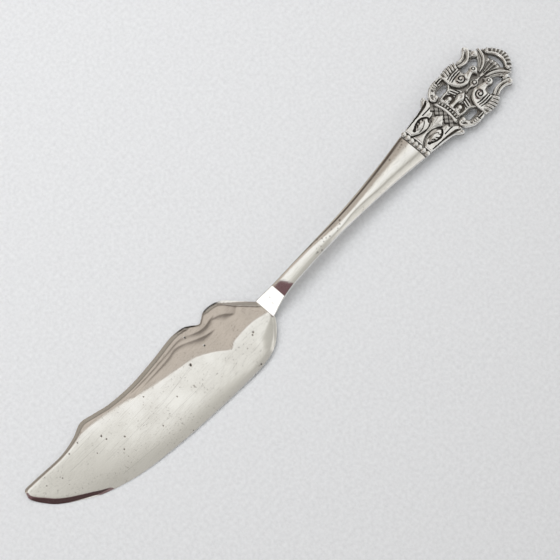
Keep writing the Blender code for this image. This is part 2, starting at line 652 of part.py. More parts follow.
def main():
    clear_scene()
    home = new_collection("butter_knife")
    cutters = new_collection("cutters")
    cutters.hide_render = True
    knife = empty("butter_knife_origin", home)
    frame = empty("terminal_frame", home, knife)
    frame.location = (STEM_LENGTH, 0.0, STEM_END_UNDER)
    frame.rotation_euler = (0.0, TERMINAL_TILT, 0.0)

    blade, stem = build_blade(), build_stem()
    ornaments = [build_ground_plate(), build_collar(), build_center_leaf(), build_coronet()]
    ornaments += [build_roundel(), build_bulrush(), build_crest_arch()]
    for word, side in SIDES:
        ornaments.append(build_side_leaf(f"{word}_acanthus_leaf", side))
        ornaments.append(build_bird(f"{word}_bird", side))
        ornaments.append(build_side_scroll(f"{word}_side_scroll", side))
        ornaments.append(build_shoulder_scroll(f"{word}_shoulder_scroll", side))
        ornaments.append(build_plume_leaf(f"{word}_plume_leaf", side))

    for piece in (blade, stem):
        piece.data.materials.clear()
        piece.data.materials.append(silver(f"{piece.name}_polished_silver", 0.86, 0.18))
        piece.parent = knife
        home.objects.link(piece)
    for piece in ornaments:
        piece.data.materials.clear()
        piece.data.materials.append(silver(f"{piece.name}_oxidised_silver", 0.62, 0.32))
        piece.parent = frame
        home.objects.link(piece)
    cut_lap(stem, frame, cutters)
    centre(knife, [blade, stem, *ornaments])


main()
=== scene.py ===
"""Looks of a silver butter knife: a worn polished blade and stem, a carved and oxidised handle end.

Lengths are drawn in millimetres. The drawing's origin is where the stem leaves the blade, with the
handle end towards +X and the spine of the blade towards +Y. The handle end has its own plan on its
sloping ground plate: along from the stem's end, across from the middle, and height above the plate.
"""

import logging
import math
from dataclasses import dataclass
from enum import Enum
from typing import Any, Callable, Iterator, Sequence

import bpy
import numpy as np
from bpy.types import Material, Mesh, Node, NodeSocket, NodeTree, Object
from mathutils import Matrix, Vector
from mathutils.geometry import delaunay_2d_cdt


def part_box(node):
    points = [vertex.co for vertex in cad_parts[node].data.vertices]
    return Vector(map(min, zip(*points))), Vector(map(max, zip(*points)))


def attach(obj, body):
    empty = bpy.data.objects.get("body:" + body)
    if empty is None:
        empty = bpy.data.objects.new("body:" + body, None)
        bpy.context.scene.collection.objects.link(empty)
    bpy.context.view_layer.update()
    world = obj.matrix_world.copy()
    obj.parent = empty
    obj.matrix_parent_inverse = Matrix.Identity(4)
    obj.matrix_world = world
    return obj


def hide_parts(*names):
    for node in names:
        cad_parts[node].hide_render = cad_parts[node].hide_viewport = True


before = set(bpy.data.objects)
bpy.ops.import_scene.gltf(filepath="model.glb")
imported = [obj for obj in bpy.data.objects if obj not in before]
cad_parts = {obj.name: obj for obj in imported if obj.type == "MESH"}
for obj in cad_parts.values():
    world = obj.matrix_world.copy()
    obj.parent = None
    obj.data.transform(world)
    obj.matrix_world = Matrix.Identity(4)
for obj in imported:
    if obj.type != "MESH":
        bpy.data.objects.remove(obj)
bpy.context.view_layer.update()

LOG = logging.getLogger("butter_knife")
MM = 0.001

Array = np.ndarray
Place = tuple[float, float]
Spot = tuple[float, float, float]
Path = Sequence[Place]
Range = tuple[float, float]
Stretch = tuple[float, float, float, float]
Height = Callable[[Array], Array]
Faces = Sequence[tuple[int, ...]]
Wires = dict[str | int, Any]

BODY = "root"
TARNISH_AND_PAINTED_REFLECTION = "tarnish"
# How the pieces meet: the stem's foot laps over the blade's heel, and the handle end slopes to the table.
FOOT_LAP = 0.4
STEM_LENGTH = 54.0
HANDLE_LENGTH = 36.0
HANDLE_TILT = math.radians(4.8)
HANDLE_DROP = HANDLE_LENGTH * math.sin(HANDLE_TILT)
PLATE_THICKNESS = 1.1
HEEL_LIFT = 1.0
HEEL_THICKNESS = 1.3
# How finely lines and faces are drawn. Points of a face lie in triangles with equal sides, and keep these
# shares of their spacing, or of their inset, clear of its outline.
STROKE_STEP = 0.12
CREASE_STEP = 0.3
ROW_PITCH = math.sqrt(0.75)
GRID_ROOM = 0.6
INSET_ROOM = 0.95
MERGE_DISTANCE = 1e-6
TINY = 1e-9
FLAT_SHADE_ANGLE = math.radians(52.0)
# How much flatter than a half circle the top of a raised mark is, and how closely marks that meet blend.
FLAT_TOP = 1.6
BLEND = 4


class Slot(Enum):
    """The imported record's finishes."""

    POLISHED = "polished_silver"
    OXIDISED = "oxidised_silver"


class Work(Enum):
    """Whether a tool mark stands up from the carved ground or is sunk into it."""

    RAISED = 1
    SUNK = -1


class Side(Enum):
    """Half of the handle end, by the sign of the distance from its middle."""

    LEFT = 1
    RIGHT = -1


def linear(hex_colour: str) -> tuple[float, float, float, float]:
    """Turns an sRGB hex colour to a linear one.

    Args:
        hex_colour: Six hex digits after a hash sign.

    Returns:
        Red, green, blue and an alpha of 1.
    """
    parts = [int(hex_colour[i : i + 2], 16) / 255.0 for i in (1, 3, 5)]
    red, green, blue = (p / 12.92 if p <= 0.04045 else ((p + 0.055) / 1.055) ** 2.4 for p in parts)
    return (red, green, blue, 1.0)


def wire(tree: NodeTree, node: Node, wires: Wires) -> None:
    """Sets inputs of a node.

    Args:
        tree: The node tree.
        node: The node.
        wires: For an input, by name or number, its value or the output that feeds it.
    """
    for key, value in wires.items():
        if isinstance(value, NodeSocket):
            tree.links.new(value, node.inputs[key])
        else:
            node.inputs[key].default_value = value


def add(tree: NodeTree, kind: str, wires: Wires | None = None, **settings: Any) -> NodeSocket | None:
    """Adds one node with its settings, values and links.

    Args:
        tree: The node tree that gets the node.
        kind: Blender's name for the node's type.
        wires: For an input, by name or number, its value or the output that feeds it.
        **settings: The node's own properties.

    Returns:
        The first output that the new node has in use.
    """
    node = tree.nodes.new(kind)
    for name, value in settings.items():
        setattr(node, name, value)
    wire(tree, node, wires or {})
    return next((output for output in node.outputs if output.enabled), None)


def slope_of(degrees: float) -> float:
    """The rise of a slope for each step along it."""
    return math.tan(math.radians(degrees))


def ease(low: float, high: float, values: Array) -> Array:
    """A smooth step from 0 at low to 1 at high."""
    share = np.clip((values - low) / (high - low), 0.0, 1.0)
    return share * share * (3.0 - 2.0 * share)


def along_stretch(limits: Stretch, places: Array) -> Array:
    """Rises to 1 between the first two limits of a stretch, and falls to 0 between its last two."""
    start, full, wane, end = limits
    return ease(start, full, places) * ease(end, wane, places)


def soft_ramp(depth: Array, softness: Array | float) -> Array:
    """A slope of one that starts at zero, with its foot rounded."""
    return 0.5 * (depth + np.hypot(depth, softness))


def quarter_round(margin: Array, reach: float) -> Array:
    """Rises like a quarter circle, from 0 at an edge to 1 at the given reach from it."""
    return np.sqrt(1.0 - (1.0 - np.clip(margin / reach, 0.0, 1.0)) ** 2)


def half_round(out: Array, work: Work) -> Array:
    """The section of a mark, by the square of how far out a point lies: a raised one has a flatter top."""
    return np.sqrt(1.0 - out ** (FLAT_TOP if work is Work.RAISED else 1.0))


def smooth_path(knots: Array, step: float, closed: bool = False, corners: Sequence[int] = ()) -> Array:
    """Draws a smooth line through given points.

    Args:
        knots: One row a point: its place in the first two columns, and anything else after them.
        step: The longest distance between two points of the result.
        closed: Whether the line runs back to its start.
        corners: The numbers of the points where it turns sharply.

    Returns:
        The rows along the line.
    """
    count = len(knots)

    def gap(i: int) -> Array:
        """The way from a point to the next."""
        return knots[(i + 1) % count] - knots[i % count]

    def length(i: int) -> float:
        """How far the next point lies."""
        return max(TINY, float(np.hypot(*gap(i)[:2])))

    def tangent(i: int, span: int) -> Array:
        """The way of the line at a point, seen from one of the spans beside it.

        Args:
            i: The point's number.
            span: The span's number.

        Returns:
            The change for a step along.
        """
        sharp = i in corners or (not closed and i in (0, count - 1))
        if sharp:
            return gap(span) / length(span)
        return (gap(i - 1) + gap(i)) / (length(i - 1) + length(i))

    rows = []
    for span in range(count if closed else count - 1):
        start, end = knots[span], knots[(span + 1) % count]
        reach = length(span)
        leave, arrive = tangent(span, span) * reach, tangent((span + 1) % count, span) * reach
        for u in np.linspace(0.0, 1.0, max(2, math.ceil(reach / step) + 1))[:-1]:
            rise = u * u * (3.0 - 2.0 * u)
            bend = u * (1.0 - u)
            rows.append(start * (1.0 - rise) + end * rise + bend * ((1.0 - u) * leave - u * arrive))
    if not closed:
        rows.append(knots[-1])
    return np.array(rows)


def runs(points: Array, line: Array, closed: bool = False) -> Iterator[tuple[Array, Array, Array]]:
    """Takes the straight runs of a line one by one, and says how points lie to each.

    Args:
        points: The points, one row each.
        line: The ends of the runs: their place in the first two columns, and anything else after them.
        closed: Whether a last run leads back to the start.

    Yields:
        The way along the run, each point's offset from the nearest place on it, and the line's further
        columns at that place.
    """
    for start, end in zip(line, np.roll(line, -1, axis=0) if closed else line[1:]):
        along = end[:2] - start[:2]
        share = np.clip((points - start[:2]) @ along / max(TINY, along @ along), 0.0, 1.0)[:, None]
        yield along, points - start[:2] - share * along, start[2:] + share * (end[2:] - start[2:])


def edge_distance(points: Array, line: Array, closed: bool = False) -> Array:
    """How far each point lies from a line of short straight runs.

    Args:
        points: The points, one row each.
        line: The ends of the runs.
        closed: Whether a last run leads back to the start.

    Returns:
        A distance for each point.
    """
    nearest = np.full(len(points), np.inf)
    for _, off, _ in runs(points, line, closed):
        nearest = np.minimum(nearest, np.einsum("ij,ij->i", off, off))
    return np.sqrt(nearest)


def margin_of(points: Array, loops: Sequence[Array]) -> Array:
    """How far each point lies from the nearest of some closed loops."""
    return np.min([edge_distance(points, loop, closed=True) for loop in loops], axis=0)


def inside(points: Array, loop: Array) -> Array:
    """Which points lie within a closed loop.

    Args:
        points: The points, one row each.
        loop: The loop's points.

    Returns:
        True for each point inside.
    """
    odd = np.zeros(len(points), bool)
    for (x0, y0), (x1, y1) in zip(loop, np.roll(loop, -1, axis=0)):
        if y0 == y1:
            continue
        crosses = (points[:, 1] < y0) != (points[:, 1] < y1)
        odd ^= crosses & (points[:, 0] < x0 + (points[:, 1] - y0) * (x1 - x0) / (y1 - y0))
    return odd


def within(points: Array, loops: Sequence[Array]) -> Array:
    """Which points lie within the first loop and in none of the others.

    Args:
        points: The points, one row each.
        loops: An outline, and then any openings in it.

    Returns:
        True for each point that does.
    """
    kept = inside(points, loops[0])
    for hole in loops[1:]:
        kept &= ~inside(points, hole)
    return kept


@dataclass(frozen=True)
class Change:
    """A value that goes smoothly from one level to another between two places.

    Attributes:
        start: The place where it starts to change.
        end: The place where it has changed, on either side of the start.
        before: Its level up to the start.
        after: Its level from the end on.
    """

    start: float
    end: float
    before: float = 0.0
    after: float = 1.0

    def at(self, places: Array) -> Array:
        """Its level at each place."""
        return self.before + (self.after - self.before) * ease(self.start, self.end, places)


@dataclass(frozen=True)
class SmoothLine:
    """A height given along one axis by listed points, with a smooth line through them."""

    points: Path

    def at(self, places: Array) -> Array:
        """The heights at the given places.

        Args:
            places: The places on the axis.

        Returns:
            A height for each.
        """
        x, y = np.array(self.points, float).T
        around = np.arange(len(x))
        after, before = np.minimum(around + 1, len(x) - 1), np.maximum(around - 1, 0)
        slope = (y[after] - y[before]) / (x[after] - x[before])
        i = np.clip(np.searchsorted(x, places, side="left"), 1, len(x) - 1)
        span = x[i] - x[i - 1]
        u = np.clip((places - x[i - 1]) / span, 0.0, 1.0)
        rise = u * u * (3.0 - 2.0 * u)
        bend = span * u * (1.0 - u) * ((1.0 - u) * slope[i - 1] - u * slope[i])
        return y[i - 1] * (1.0 - rise) + y[i] * rise + bend


@dataclass(frozen=True)
class Stroke:
    """A line worked into the metal, of a half-round section, or raised from it, with a flatter top.

    Attributes:
        path: The points that it passes through.
        widths: Its full width at each point.
        height: How far it stands up, or how deep it is sunk.
        work: Raised or sunk.
    """

    path: Path
    widths: Sequence[float]
    height: float
    work: Work = Work.RAISED

    def relief(self, points: Array) -> Array:
        """Its height, or depth, at each point.

        Args:
            points: Places in plan.

        Returns:
            A height for each.
        """
        knots = np.column_stack([np.array(self.path, float), np.array(self.widths, float) / 2.0])
        nearest = np.ones(len(points))
        for _, off, half in runs(points, smooth_path(knots, STROKE_STEP)):
            nearest = np.minimum(nearest, np.einsum("ij,ij->i", off, off) / half[:, 0] ** 2)
        return self.height * half_round(nearest, self.work)


@dataclass(frozen=True)
class Crease:
    """A line past which a face lies lower: the face bends down to it, and then runs level again.

    Attributes:
        path: The points that it passes through, with the lower side on the left.
        widths: How far the bend takes before the line, at each point.
        slope: How steep the bend is where it ends.
    """

    path: Path
    widths: Sequence[float]
    slope: float

    def fall(self, points: Array) -> Array:
        """How far each point is lowered.

        Args:
            points: Places in plan.

        Returns:
            A drop for each.
        """
        knots = np.column_stack([np.array(self.path, float), np.array(self.widths, float)])
        nearest = np.full(len(points), np.inf)
        beyond, width = np.zeros(len(points)), np.zeros(len(points))
        for along, off, reach in runs(points, smooth_path(knots, CREASE_STEP)):
            gap = np.hypot(*off.T)
            closer = gap < nearest
            side = np.sign(along[0] * off[:, 1] - along[1] * off[:, 0])
            nearest = np.where(closer, gap, nearest)
            beyond = np.where(closer, gap * side, beyond)
            width = np.where(closer, reach[:, 0], width)
        bent = np.clip(1.0 + beyond / np.maximum(width, TINY), 0.0, 1.0)
        return 0.5 * self.slope * width * bent**2


@dataclass(frozen=True)
class Boss:
    """A rounded knob, or a drilled hollow, of an oval plan.

    Attributes:
        at: Its middle.
        size: Its length and width.
        height: How far it stands up, or how deep it is sunk.
        turn: The angle of its length.
        work: Raised or sunk.
    """

    at: Place
    size: Place
    height: float
    turn: float = 0.0
    work: Work = Work.RAISED

    def relief(self, points: Array) -> Array:
        """Its height, or depth, at each point.

        Args:
            points: Places in plan.

        Returns:
            A height for each.
        """
        off = points - np.array(self.at)
        cosine, sine = math.cos(self.turn), math.sin(self.turn)
        along = (off[:, 0] * cosine + off[:, 1] * sine) * 2.0 / self.size[0]
        across = (off[:, 1] * cosine - off[:, 0] * sine) * 2.0 / self.size[1]
        return self.height * half_round(np.clip(along**2 + across**2, 0.0, 1.0), self.work)


def ring_path(at: Place, radius: float, points: int = 12) -> Path:
    """The points of a circle, its last on its first."""
    turns = [math.tau * k / points for k in range(points + 1)]
    return [(at[0] + radius * math.cos(a), at[1] + radius * math.sin(a)) for a in turns]


def volute_path(at: Place, radii: Range, turns: Range, points: int = 18) -> Path:
    """The points of a spiral between two radii and two angles in degrees.

    Args:
        at: Its middle.
        radii: The first and the last radius.
        turns: The first and the last angle.
        points: How many points it has.

    Returns:
        The points.
    """
    shares = np.linspace(0.0, 1.0, points)
    radius = radii[0] + (radii[1] - radii[0]) * shares
    angle = np.radians(turns[0] + (turns[1] - turns[0]) * shares)
    return list(zip(at[0] + radius * np.cos(angle), at[1] + radius * np.sin(angle)))


def groove(path: Path, widths: Sequence[float], depth: float) -> Stroke:
    """A line sunk into the metal."""
    return Stroke(path, widths, depth, Work.SUNK)


def even_groove(path: Path, width: float, depth: float) -> Stroke:
    """A groove of one width."""
    return groove(path, (width,) * len(path), depth)


def hollow(at: Place, size: Place, depth: float, turn: float = 0.0) -> Boss:
    """A drilled hollow."""
    return Boss(at, size, depth, turn, Work.SUNK)


def face_points(
    loops: Sequence[Array], spacing: float, insets: Sequence[float], marks: Array | None
) -> Array:
    """Spreads points over the inside of an outline.

    Args:
        loops: The outline, and then any openings in it.
        spacing: The distance between the points.
        insets: Distances from the outline that get a row of points of their own.
        marks: Further points that are wanted.

    Returns:
        The points that lie clear of the outline.
    """
    rim = np.concatenate(loops)
    low, high = rim.min(axis=0), rim.max(axis=0)
    rows = np.arange(low[1], high[1], spacing * ROW_PITCH)
    columns = np.arange(low[0], high[0], spacing)
    grid = np.array([(x + spacing / 2 * (k % 2), y) for k, y in enumerate(rows) for x in columns])
    spread = [grid] if marks is None else [grid, marks]
    room = [np.full(len(found), spacing * GRID_ROOM) for found in spread]
    for inset in insets:
        for loop in loops:
            along = np.roll(loop, -1, axis=0) - np.roll(loop, 1, axis=0)
            along /= np.maximum(TINY, np.hypot(*along.T))[:, None]
            for turn in (1.0, -1.0):
                spread.append(loop + inset * turn * np.column_stack([-along[:, 1], along[:, 0]]))
                room.append(np.full(len(loop), inset * INSET_ROOM))
    points, clear = np.concatenate(spread), np.concatenate(room)
    kept = within(points, loops)
    points, clear = points[kept], clear[kept]
    return points[margin_of(points, loops) > clear]


def slab(
    loops: Sequence[Array],
    spacing: float,
    top: Height,
    base: Height,
    insets: Sequence[float] = (),
    marks: Array | None = None,
) -> tuple[Array, Faces]:
    """Makes a closed body between two height fields, cut to an outline.

    Args:
        loops: The outline, and then any openings in it.
        spacing: The distance between the points of its faces.
        top: The height of its upper face at given points.
        base: The height of its lower face.
        insets: Distances from the outline that get a row of points of their own.
        marks: Further points that its faces need.

    Returns:
        Its points, those of its upper face first, and its faces as point numbers.
    """
    edges = []
    for loop in loops:
        start = len(edges)
        edges += [(start + k, start + (k + 1) % len(loop)) for k in range(len(loop))]
    flat = np.concatenate([*loops, face_points(loops, spacing, insets, marks)])
    found, _, faces, *_ = delaunay_2d_cdt([Vector(p) for p in flat], edges, [], 1, MERGE_DISTANCE)
    plan = np.array([tuple(v) for v in found])
    triangles = np.array([tuple(f) for f in faces])
    triangles = triangles[within(plan[triangles].mean(axis=1), loops)]
    a, b, c = (plan[triangles[:, k]] for k in range(3))
    turned = (b - a)[:, 0] * (c - a)[:, 1] < (b - a)[:, 1] * (c - a)[:, 0]
    triangles[turned] = triangles[turned][:, ::-1]
    count = len(plan)
    body = np.concatenate([np.column_stack([plan, top(plan)]), np.column_stack([plan, base(plan)])])
    sides = np.concatenate([triangles[:, [0, 1]], triangles[:, [1, 2]], triangles[:, [2, 0]]])
    paired = {tuple(side) for side in sides}
    walls = [(i, i + count, j + count, j) for i, j in paired if (j, i) not in paired]
    under = triangles[:, ::-1] + count
    return body, [tuple(f) for f in triangles.tolist() + under.tolist()] + sorted(walls)


def set_tarnish_and_painted_reflection(mesh: Mesh, dark: Array) -> None:
    """Keeps how dark each point of a mesh is, for its material to read: its tarnish, and on the blade's rim
    by the notch a painted dark reflection.
    """
    mesh.attributes.new(TARNISH_AND_PAINTED_REFLECTION, "FLOAT", "POINT").data.foreach_set("value", dark.astype(np.float32))


def as_mesh(name: str, body: Array, faces: Faces, dark: Array) -> Mesh:
    """Makes a smooth-shaded mesh that carries how dark each point is: its tarnish, and on the blade's rim by
    the notch a painted dark reflection.

    Args:
        name: Its name.
        body: Its points.
        faces: Its faces, as point numbers.
        dark: How dark each point is, by tarnish and, on the blade's rim by the notch, by a painted dark
            reflection.

    Returns:
        The mesh.
    """
    mesh = bpy.data.meshes.new(name)
    mesh.from_pydata(body.tolist(), [], faces)
    set_tarnish_and_painted_reflection(mesh, dark)
    mesh.shade_smooth()
    mesh.set_sharp_from_angle(angle=FLAT_SHADE_ANGLE)
    return mesh


def from_drawing() -> Matrix:
    """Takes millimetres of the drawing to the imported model's frame, by where its stem lies.

    Returns:
        The matrix.
    """
    low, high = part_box("stem")
    origin = Vector((low.x + FOOT_LAP * MM, (low.y + high.y) / 2.0, 0.0))
    return Matrix.Translation(origin) @ Matrix.Scale(MM, 4)


def from_plan() -> Matrix:
    """Takes millimetres of the handle end's plan, heights above its plate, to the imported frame."""
    place = Matrix.Translation((STEM_LENGTH, 0.0, HANDLE_DROP)) @ Matrix.Rotation(HANDLE_TILT, 4, "Y")
    return from_drawing() @ place @ Matrix.Translation((0.0, 0.0, PLATE_THICKNESS))


def finished(mesh: Mesh, finish: Material, slot: Slot, *nodes: str) -> Object:
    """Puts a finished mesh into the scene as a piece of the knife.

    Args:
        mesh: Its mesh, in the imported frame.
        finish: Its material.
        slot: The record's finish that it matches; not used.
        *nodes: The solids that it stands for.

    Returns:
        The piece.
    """
    piece = bpy.data.objects.new(mesh.name, mesh)
    bpy.context.scene.collection.objects.link(piece)
    mesh.materials.clear()
    mesh.materials.append(finish)
    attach(piece, BODY)
    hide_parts(*nodes)
    mesh.calc_loop_triangles()
    LOG.info("%s: %d triangles", piece.name, len(mesh.loop_triangles))
    return piece


def new_material(name: str) -> tuple[Material, NodeTree, NodeSocket]:
    """Starts a material.

    Args:
        name: Its name.

    Returns:
        The material, its node tree, and the output that gives the place on the piece in millimetres.
    """
    made = bpy.data.materials.new(name)
    made.use_nodes = True
    tree = made.node_tree
    where = add(tree, "ShaderNodeTexCoord").node.outputs["Object"]
    drawn = add(tree, "ShaderNodeVectorMath", {0: where, "Scale": 1.0 / MM}, operation="SCALE")
    return made, tree, drawn


@dataclass(frozen=True)
class WornSilver:
    """Hand-polished table silver: a soft mirror, broken by hairlines, pits and specks of tarnish."""

    name: str = "worn_polished_silver"
    bright: str = "#f8f7f4"
    dull: str = "#e6e4df"
    speck: str = "#77706a"
    pit_and_painted_reflection: str = "#2a2523"
    roughness: float = 0.11
    roughness_change: Range = (-0.03, 0.04)
    ripple_size: float = 1.3
    ripple_height: float = 0.005
    hairline_length: float = 9.0
    hairline_width: float = 0.16
    hairline_turns: Sequence[float] = (2.0, -9.0)
    hairline_tone: float = 0.09
    hairline_depth: float = 0.01
    hairline_strength: float = 0.12
    speck_size: float = 0.45
    speck_tone: float = 0.6
    cloud_size: float = 5.0
    # The levels of a noise between which its marks come in.
    mark_levels: Range = (0.62, 0.74)
    patch_levels: Range = (0.4, 0.62)
    cloud_levels: Range = (0.3, 0.7)

    def material(self) -> Material:
        """Builds the material.

        Returns:
            The material.
        """
        made, tree, drawn = new_material(self.name)
        mark_low, mark_high = self.mark_levels
        # Cleaning drew fine lines along the knife, a little to either side of its length.
        hairs = []
        fine = 1.0 / self.hairline_width
        for turn in self.hairline_turns:
            swept = add(tree, "ShaderNodeMapping", {
                "Vector": drawn, "Rotation": (0.0, 0.0, math.radians(turn)),
                "Scale": (1.0 / self.hairline_length, fine, fine),
            })
            noise = add(tree, "ShaderNodeTexNoise", {"Vector": swept, "Scale": 1.0, "Detail": 1.0})
            hairs.append(add(
                tree, "ShaderNodeMapRange", {"Value": noise, "From Min": mark_low, "From Max": mark_high}
            ))
        hair = add(tree, "ShaderNodeMath", {0: hairs[0], 1: hairs[1]}, operation="MAXIMUM")
        cloud, grit, swells = (
            add(tree, "ShaderNodeTexNoise", {"Vector": drawn, "Scale": 1.0 / size, "Detail": detail})
            for size, detail in ((self.cloud_size, 3.0), (self.speck_size, 2.0), (self.ripple_size, 1.0))
        )
        # Tarnish gathers in small specks where the cloth passes least.
        spots = add(tree, "ShaderNodeMapRange", {
            "Value": grit, "From Min": mark_low, "From Max": mark_high, "To Max": self.speck_tone,
        })
        low, high = self.patch_levels
        patches = add(tree, "ShaderNodeMapRange", {"Value": cloud, "From Min": low, "From Max": high})
        specks = add(tree, "ShaderNodeMath", {0: spots, 1: patches}, operation="MULTIPLY")
        lines = add(tree, "ShaderNodeMath", {0: hair, 1: self.hairline_tone}, operation="MULTIPLY")
        # The tarnish attribute darkens towards the pit colour: real pits, scratches and stem specks, and on
        # the blade's rim by the notch a painted dark reflection.
        tarnish = add(tree, "ShaderNodeAttribute", attribute_name=TARNISH_AND_PAINTED_REFLECTION).node.outputs["Fac"]
        colour = linear(self.bright)
        layers = ((cloud, self.dull), (lines, self.speck), (specks, self.speck), (tarnish, self.pit_and_painted_reflection))
        for share, tone in layers:
            mixed = {"Factor": share, "A": colour, "B": linear(tone)}
            colour = add(tree, "ShaderNodeMix", mixed, data_type="RGBA")
        low, high = self.cloud_levels
        smoother, rougher = (self.roughness + change for change in self.roughness_change)
        rough = add(tree, "ShaderNodeMapRange", {
            "Value": cloud, "From Min": low, "From Max": high, "To Min": smoother, "To Max": rougher,
        })
        # Planishing left the face very slightly uneven, so the edges of what it mirrors wander.
        ripple = add(
            tree, "ShaderNodeBump", {"Strength": 1.0, "Distance": self.ripple_height * MM, "Height": swells}
        )
        dip = add(tree, "ShaderNodeBump", {
            "Strength": self.hairline_strength, "Distance": self.hairline_depth * MM, "Height": hair,
            "Normal": ripple,
        }, invert=True)
        wire(tree, tree.nodes["Principled BSDF"], {
            "Base Color": colour, "Roughness": rough, "Normal": dip, "Metallic": 1.0,
        })
        return made


@dataclass(frozen=True)
class OxidisedSilver:
    """Cast and chased silver, darkened in its hollows and rubbed bright on what stands up."""

    name: str = "oxidised_cast_silver"
    rubbed: str = "#fafaf8"
    smoky: str = "#e6e5e2"
    hollow: str = "#6c6761"
    grain_size: float = 0.35
    grain_height: float = 0.04
    grain_strength: float = 0.15
    cloud_size: float = 1.6
    bright_roughness: float = 0.24
    dark_roughness: float = 0.5
    # How far the grain moves the border of the dark, and the levels between which dark and smoke come in.
    raggedness: float = 0.4
    dark_levels: Range = (0.2, 1.2)
    smoke_levels: Range = (0.35, 0.7)

    def material(self) -> Material:
        """Builds the material.

        Returns:
            The material.
        """
        made, tree, drawn = new_material(self.name)
        grain, cloud = (
            add(tree, "ShaderNodeTexNoise", {"Vector": drawn, "Scale": 1.0 / size, "Detail": 3.0})
            for size in (self.grain_size, self.cloud_size)
        )
        tarnish = add(tree, "ShaderNodeAttribute", attribute_name=TARNISH_AND_PAINTED_REFLECTION).node.outputs["Fac"]
        # The rubbing cloth leaves a ragged border to the dark, and a thin smoke over some of the bright.
        ragged = add(
            tree, "ShaderNodeMath", {0: grain, 1: self.raggedness, 2: tarnish}, operation="MULTIPLY_ADD"
        )
        dark, smoke = (
            add(tree, "ShaderNodeMapRange", {"Value": value, "From Min": low, "From Max": high})
            for value, (low, high) in ((ragged, self.dark_levels), (cloud, self.smoke_levels))
        )
        colour = linear(self.rubbed)
        for share, tone in ((smoke, self.smoky), (dark, self.hollow)):
            mixed = {"Factor": share, "A": colour, "B": linear(tone)}
            colour = add(tree, "ShaderNodeMix", mixed, data_type="RGBA")
        rough = add(tree, "ShaderNodeMapRange", {
            "Value": dark, "To Min": self.bright_roughness, "To Max": self.dark_roughness,
        })
        cast = add(tree, "ShaderNodeBump", {
            "Strength": self.grain_strength, "Distance": self.grain_height * MM, "Height": grain,
        })
        wire(tree, tree.nodes["Principled BSDF"], {
            "Base Color": colour, "Roughness": rough, "Normal": cast, "Metallic": 1.0,
        })
        return made


@dataclass(frozen=True)
class FeltPaper:
    """Heavy matt paper: a pale sheet with a fine felt mark."""

    name: str = "matt_felt_paper"
    pale: str = "#f0f3f7"
    shade: str = "#d7dade"
    felt_size: float = 0.9
    felt_height: float = 0.21
    felt_strength: float = 0.9
    roughness: float = 0.95
    shine: float = 0.1

    def material(self) -> Material:
        """Builds the material.

        Returns:
            The material.
        """
        made, tree, drawn = new_material(self.name)
        felt = add(
            tree, "ShaderNodeTexNoise", {"Vector": drawn, "Scale": 1.0 / self.felt_size, "Detail": 4.0}
        )
        mixed = {"Factor": felt, "A": linear(self.shade), "B": linear(self.pale)}
        colour = add(tree, "ShaderNodeMix", mixed, data_type="RGBA")
        mark = add(tree, "ShaderNodeBump", {
            "Strength": self.felt_strength, "Distance": self.felt_height * MM, "Height": felt,
        })
        wire(tree, tree.nodes["Principled BSDF"], {
            "Base Color": colour, "Normal": mark, "Roughness": self.roughness,
            "Specular IOR Level": self.shine,
        })
        return made


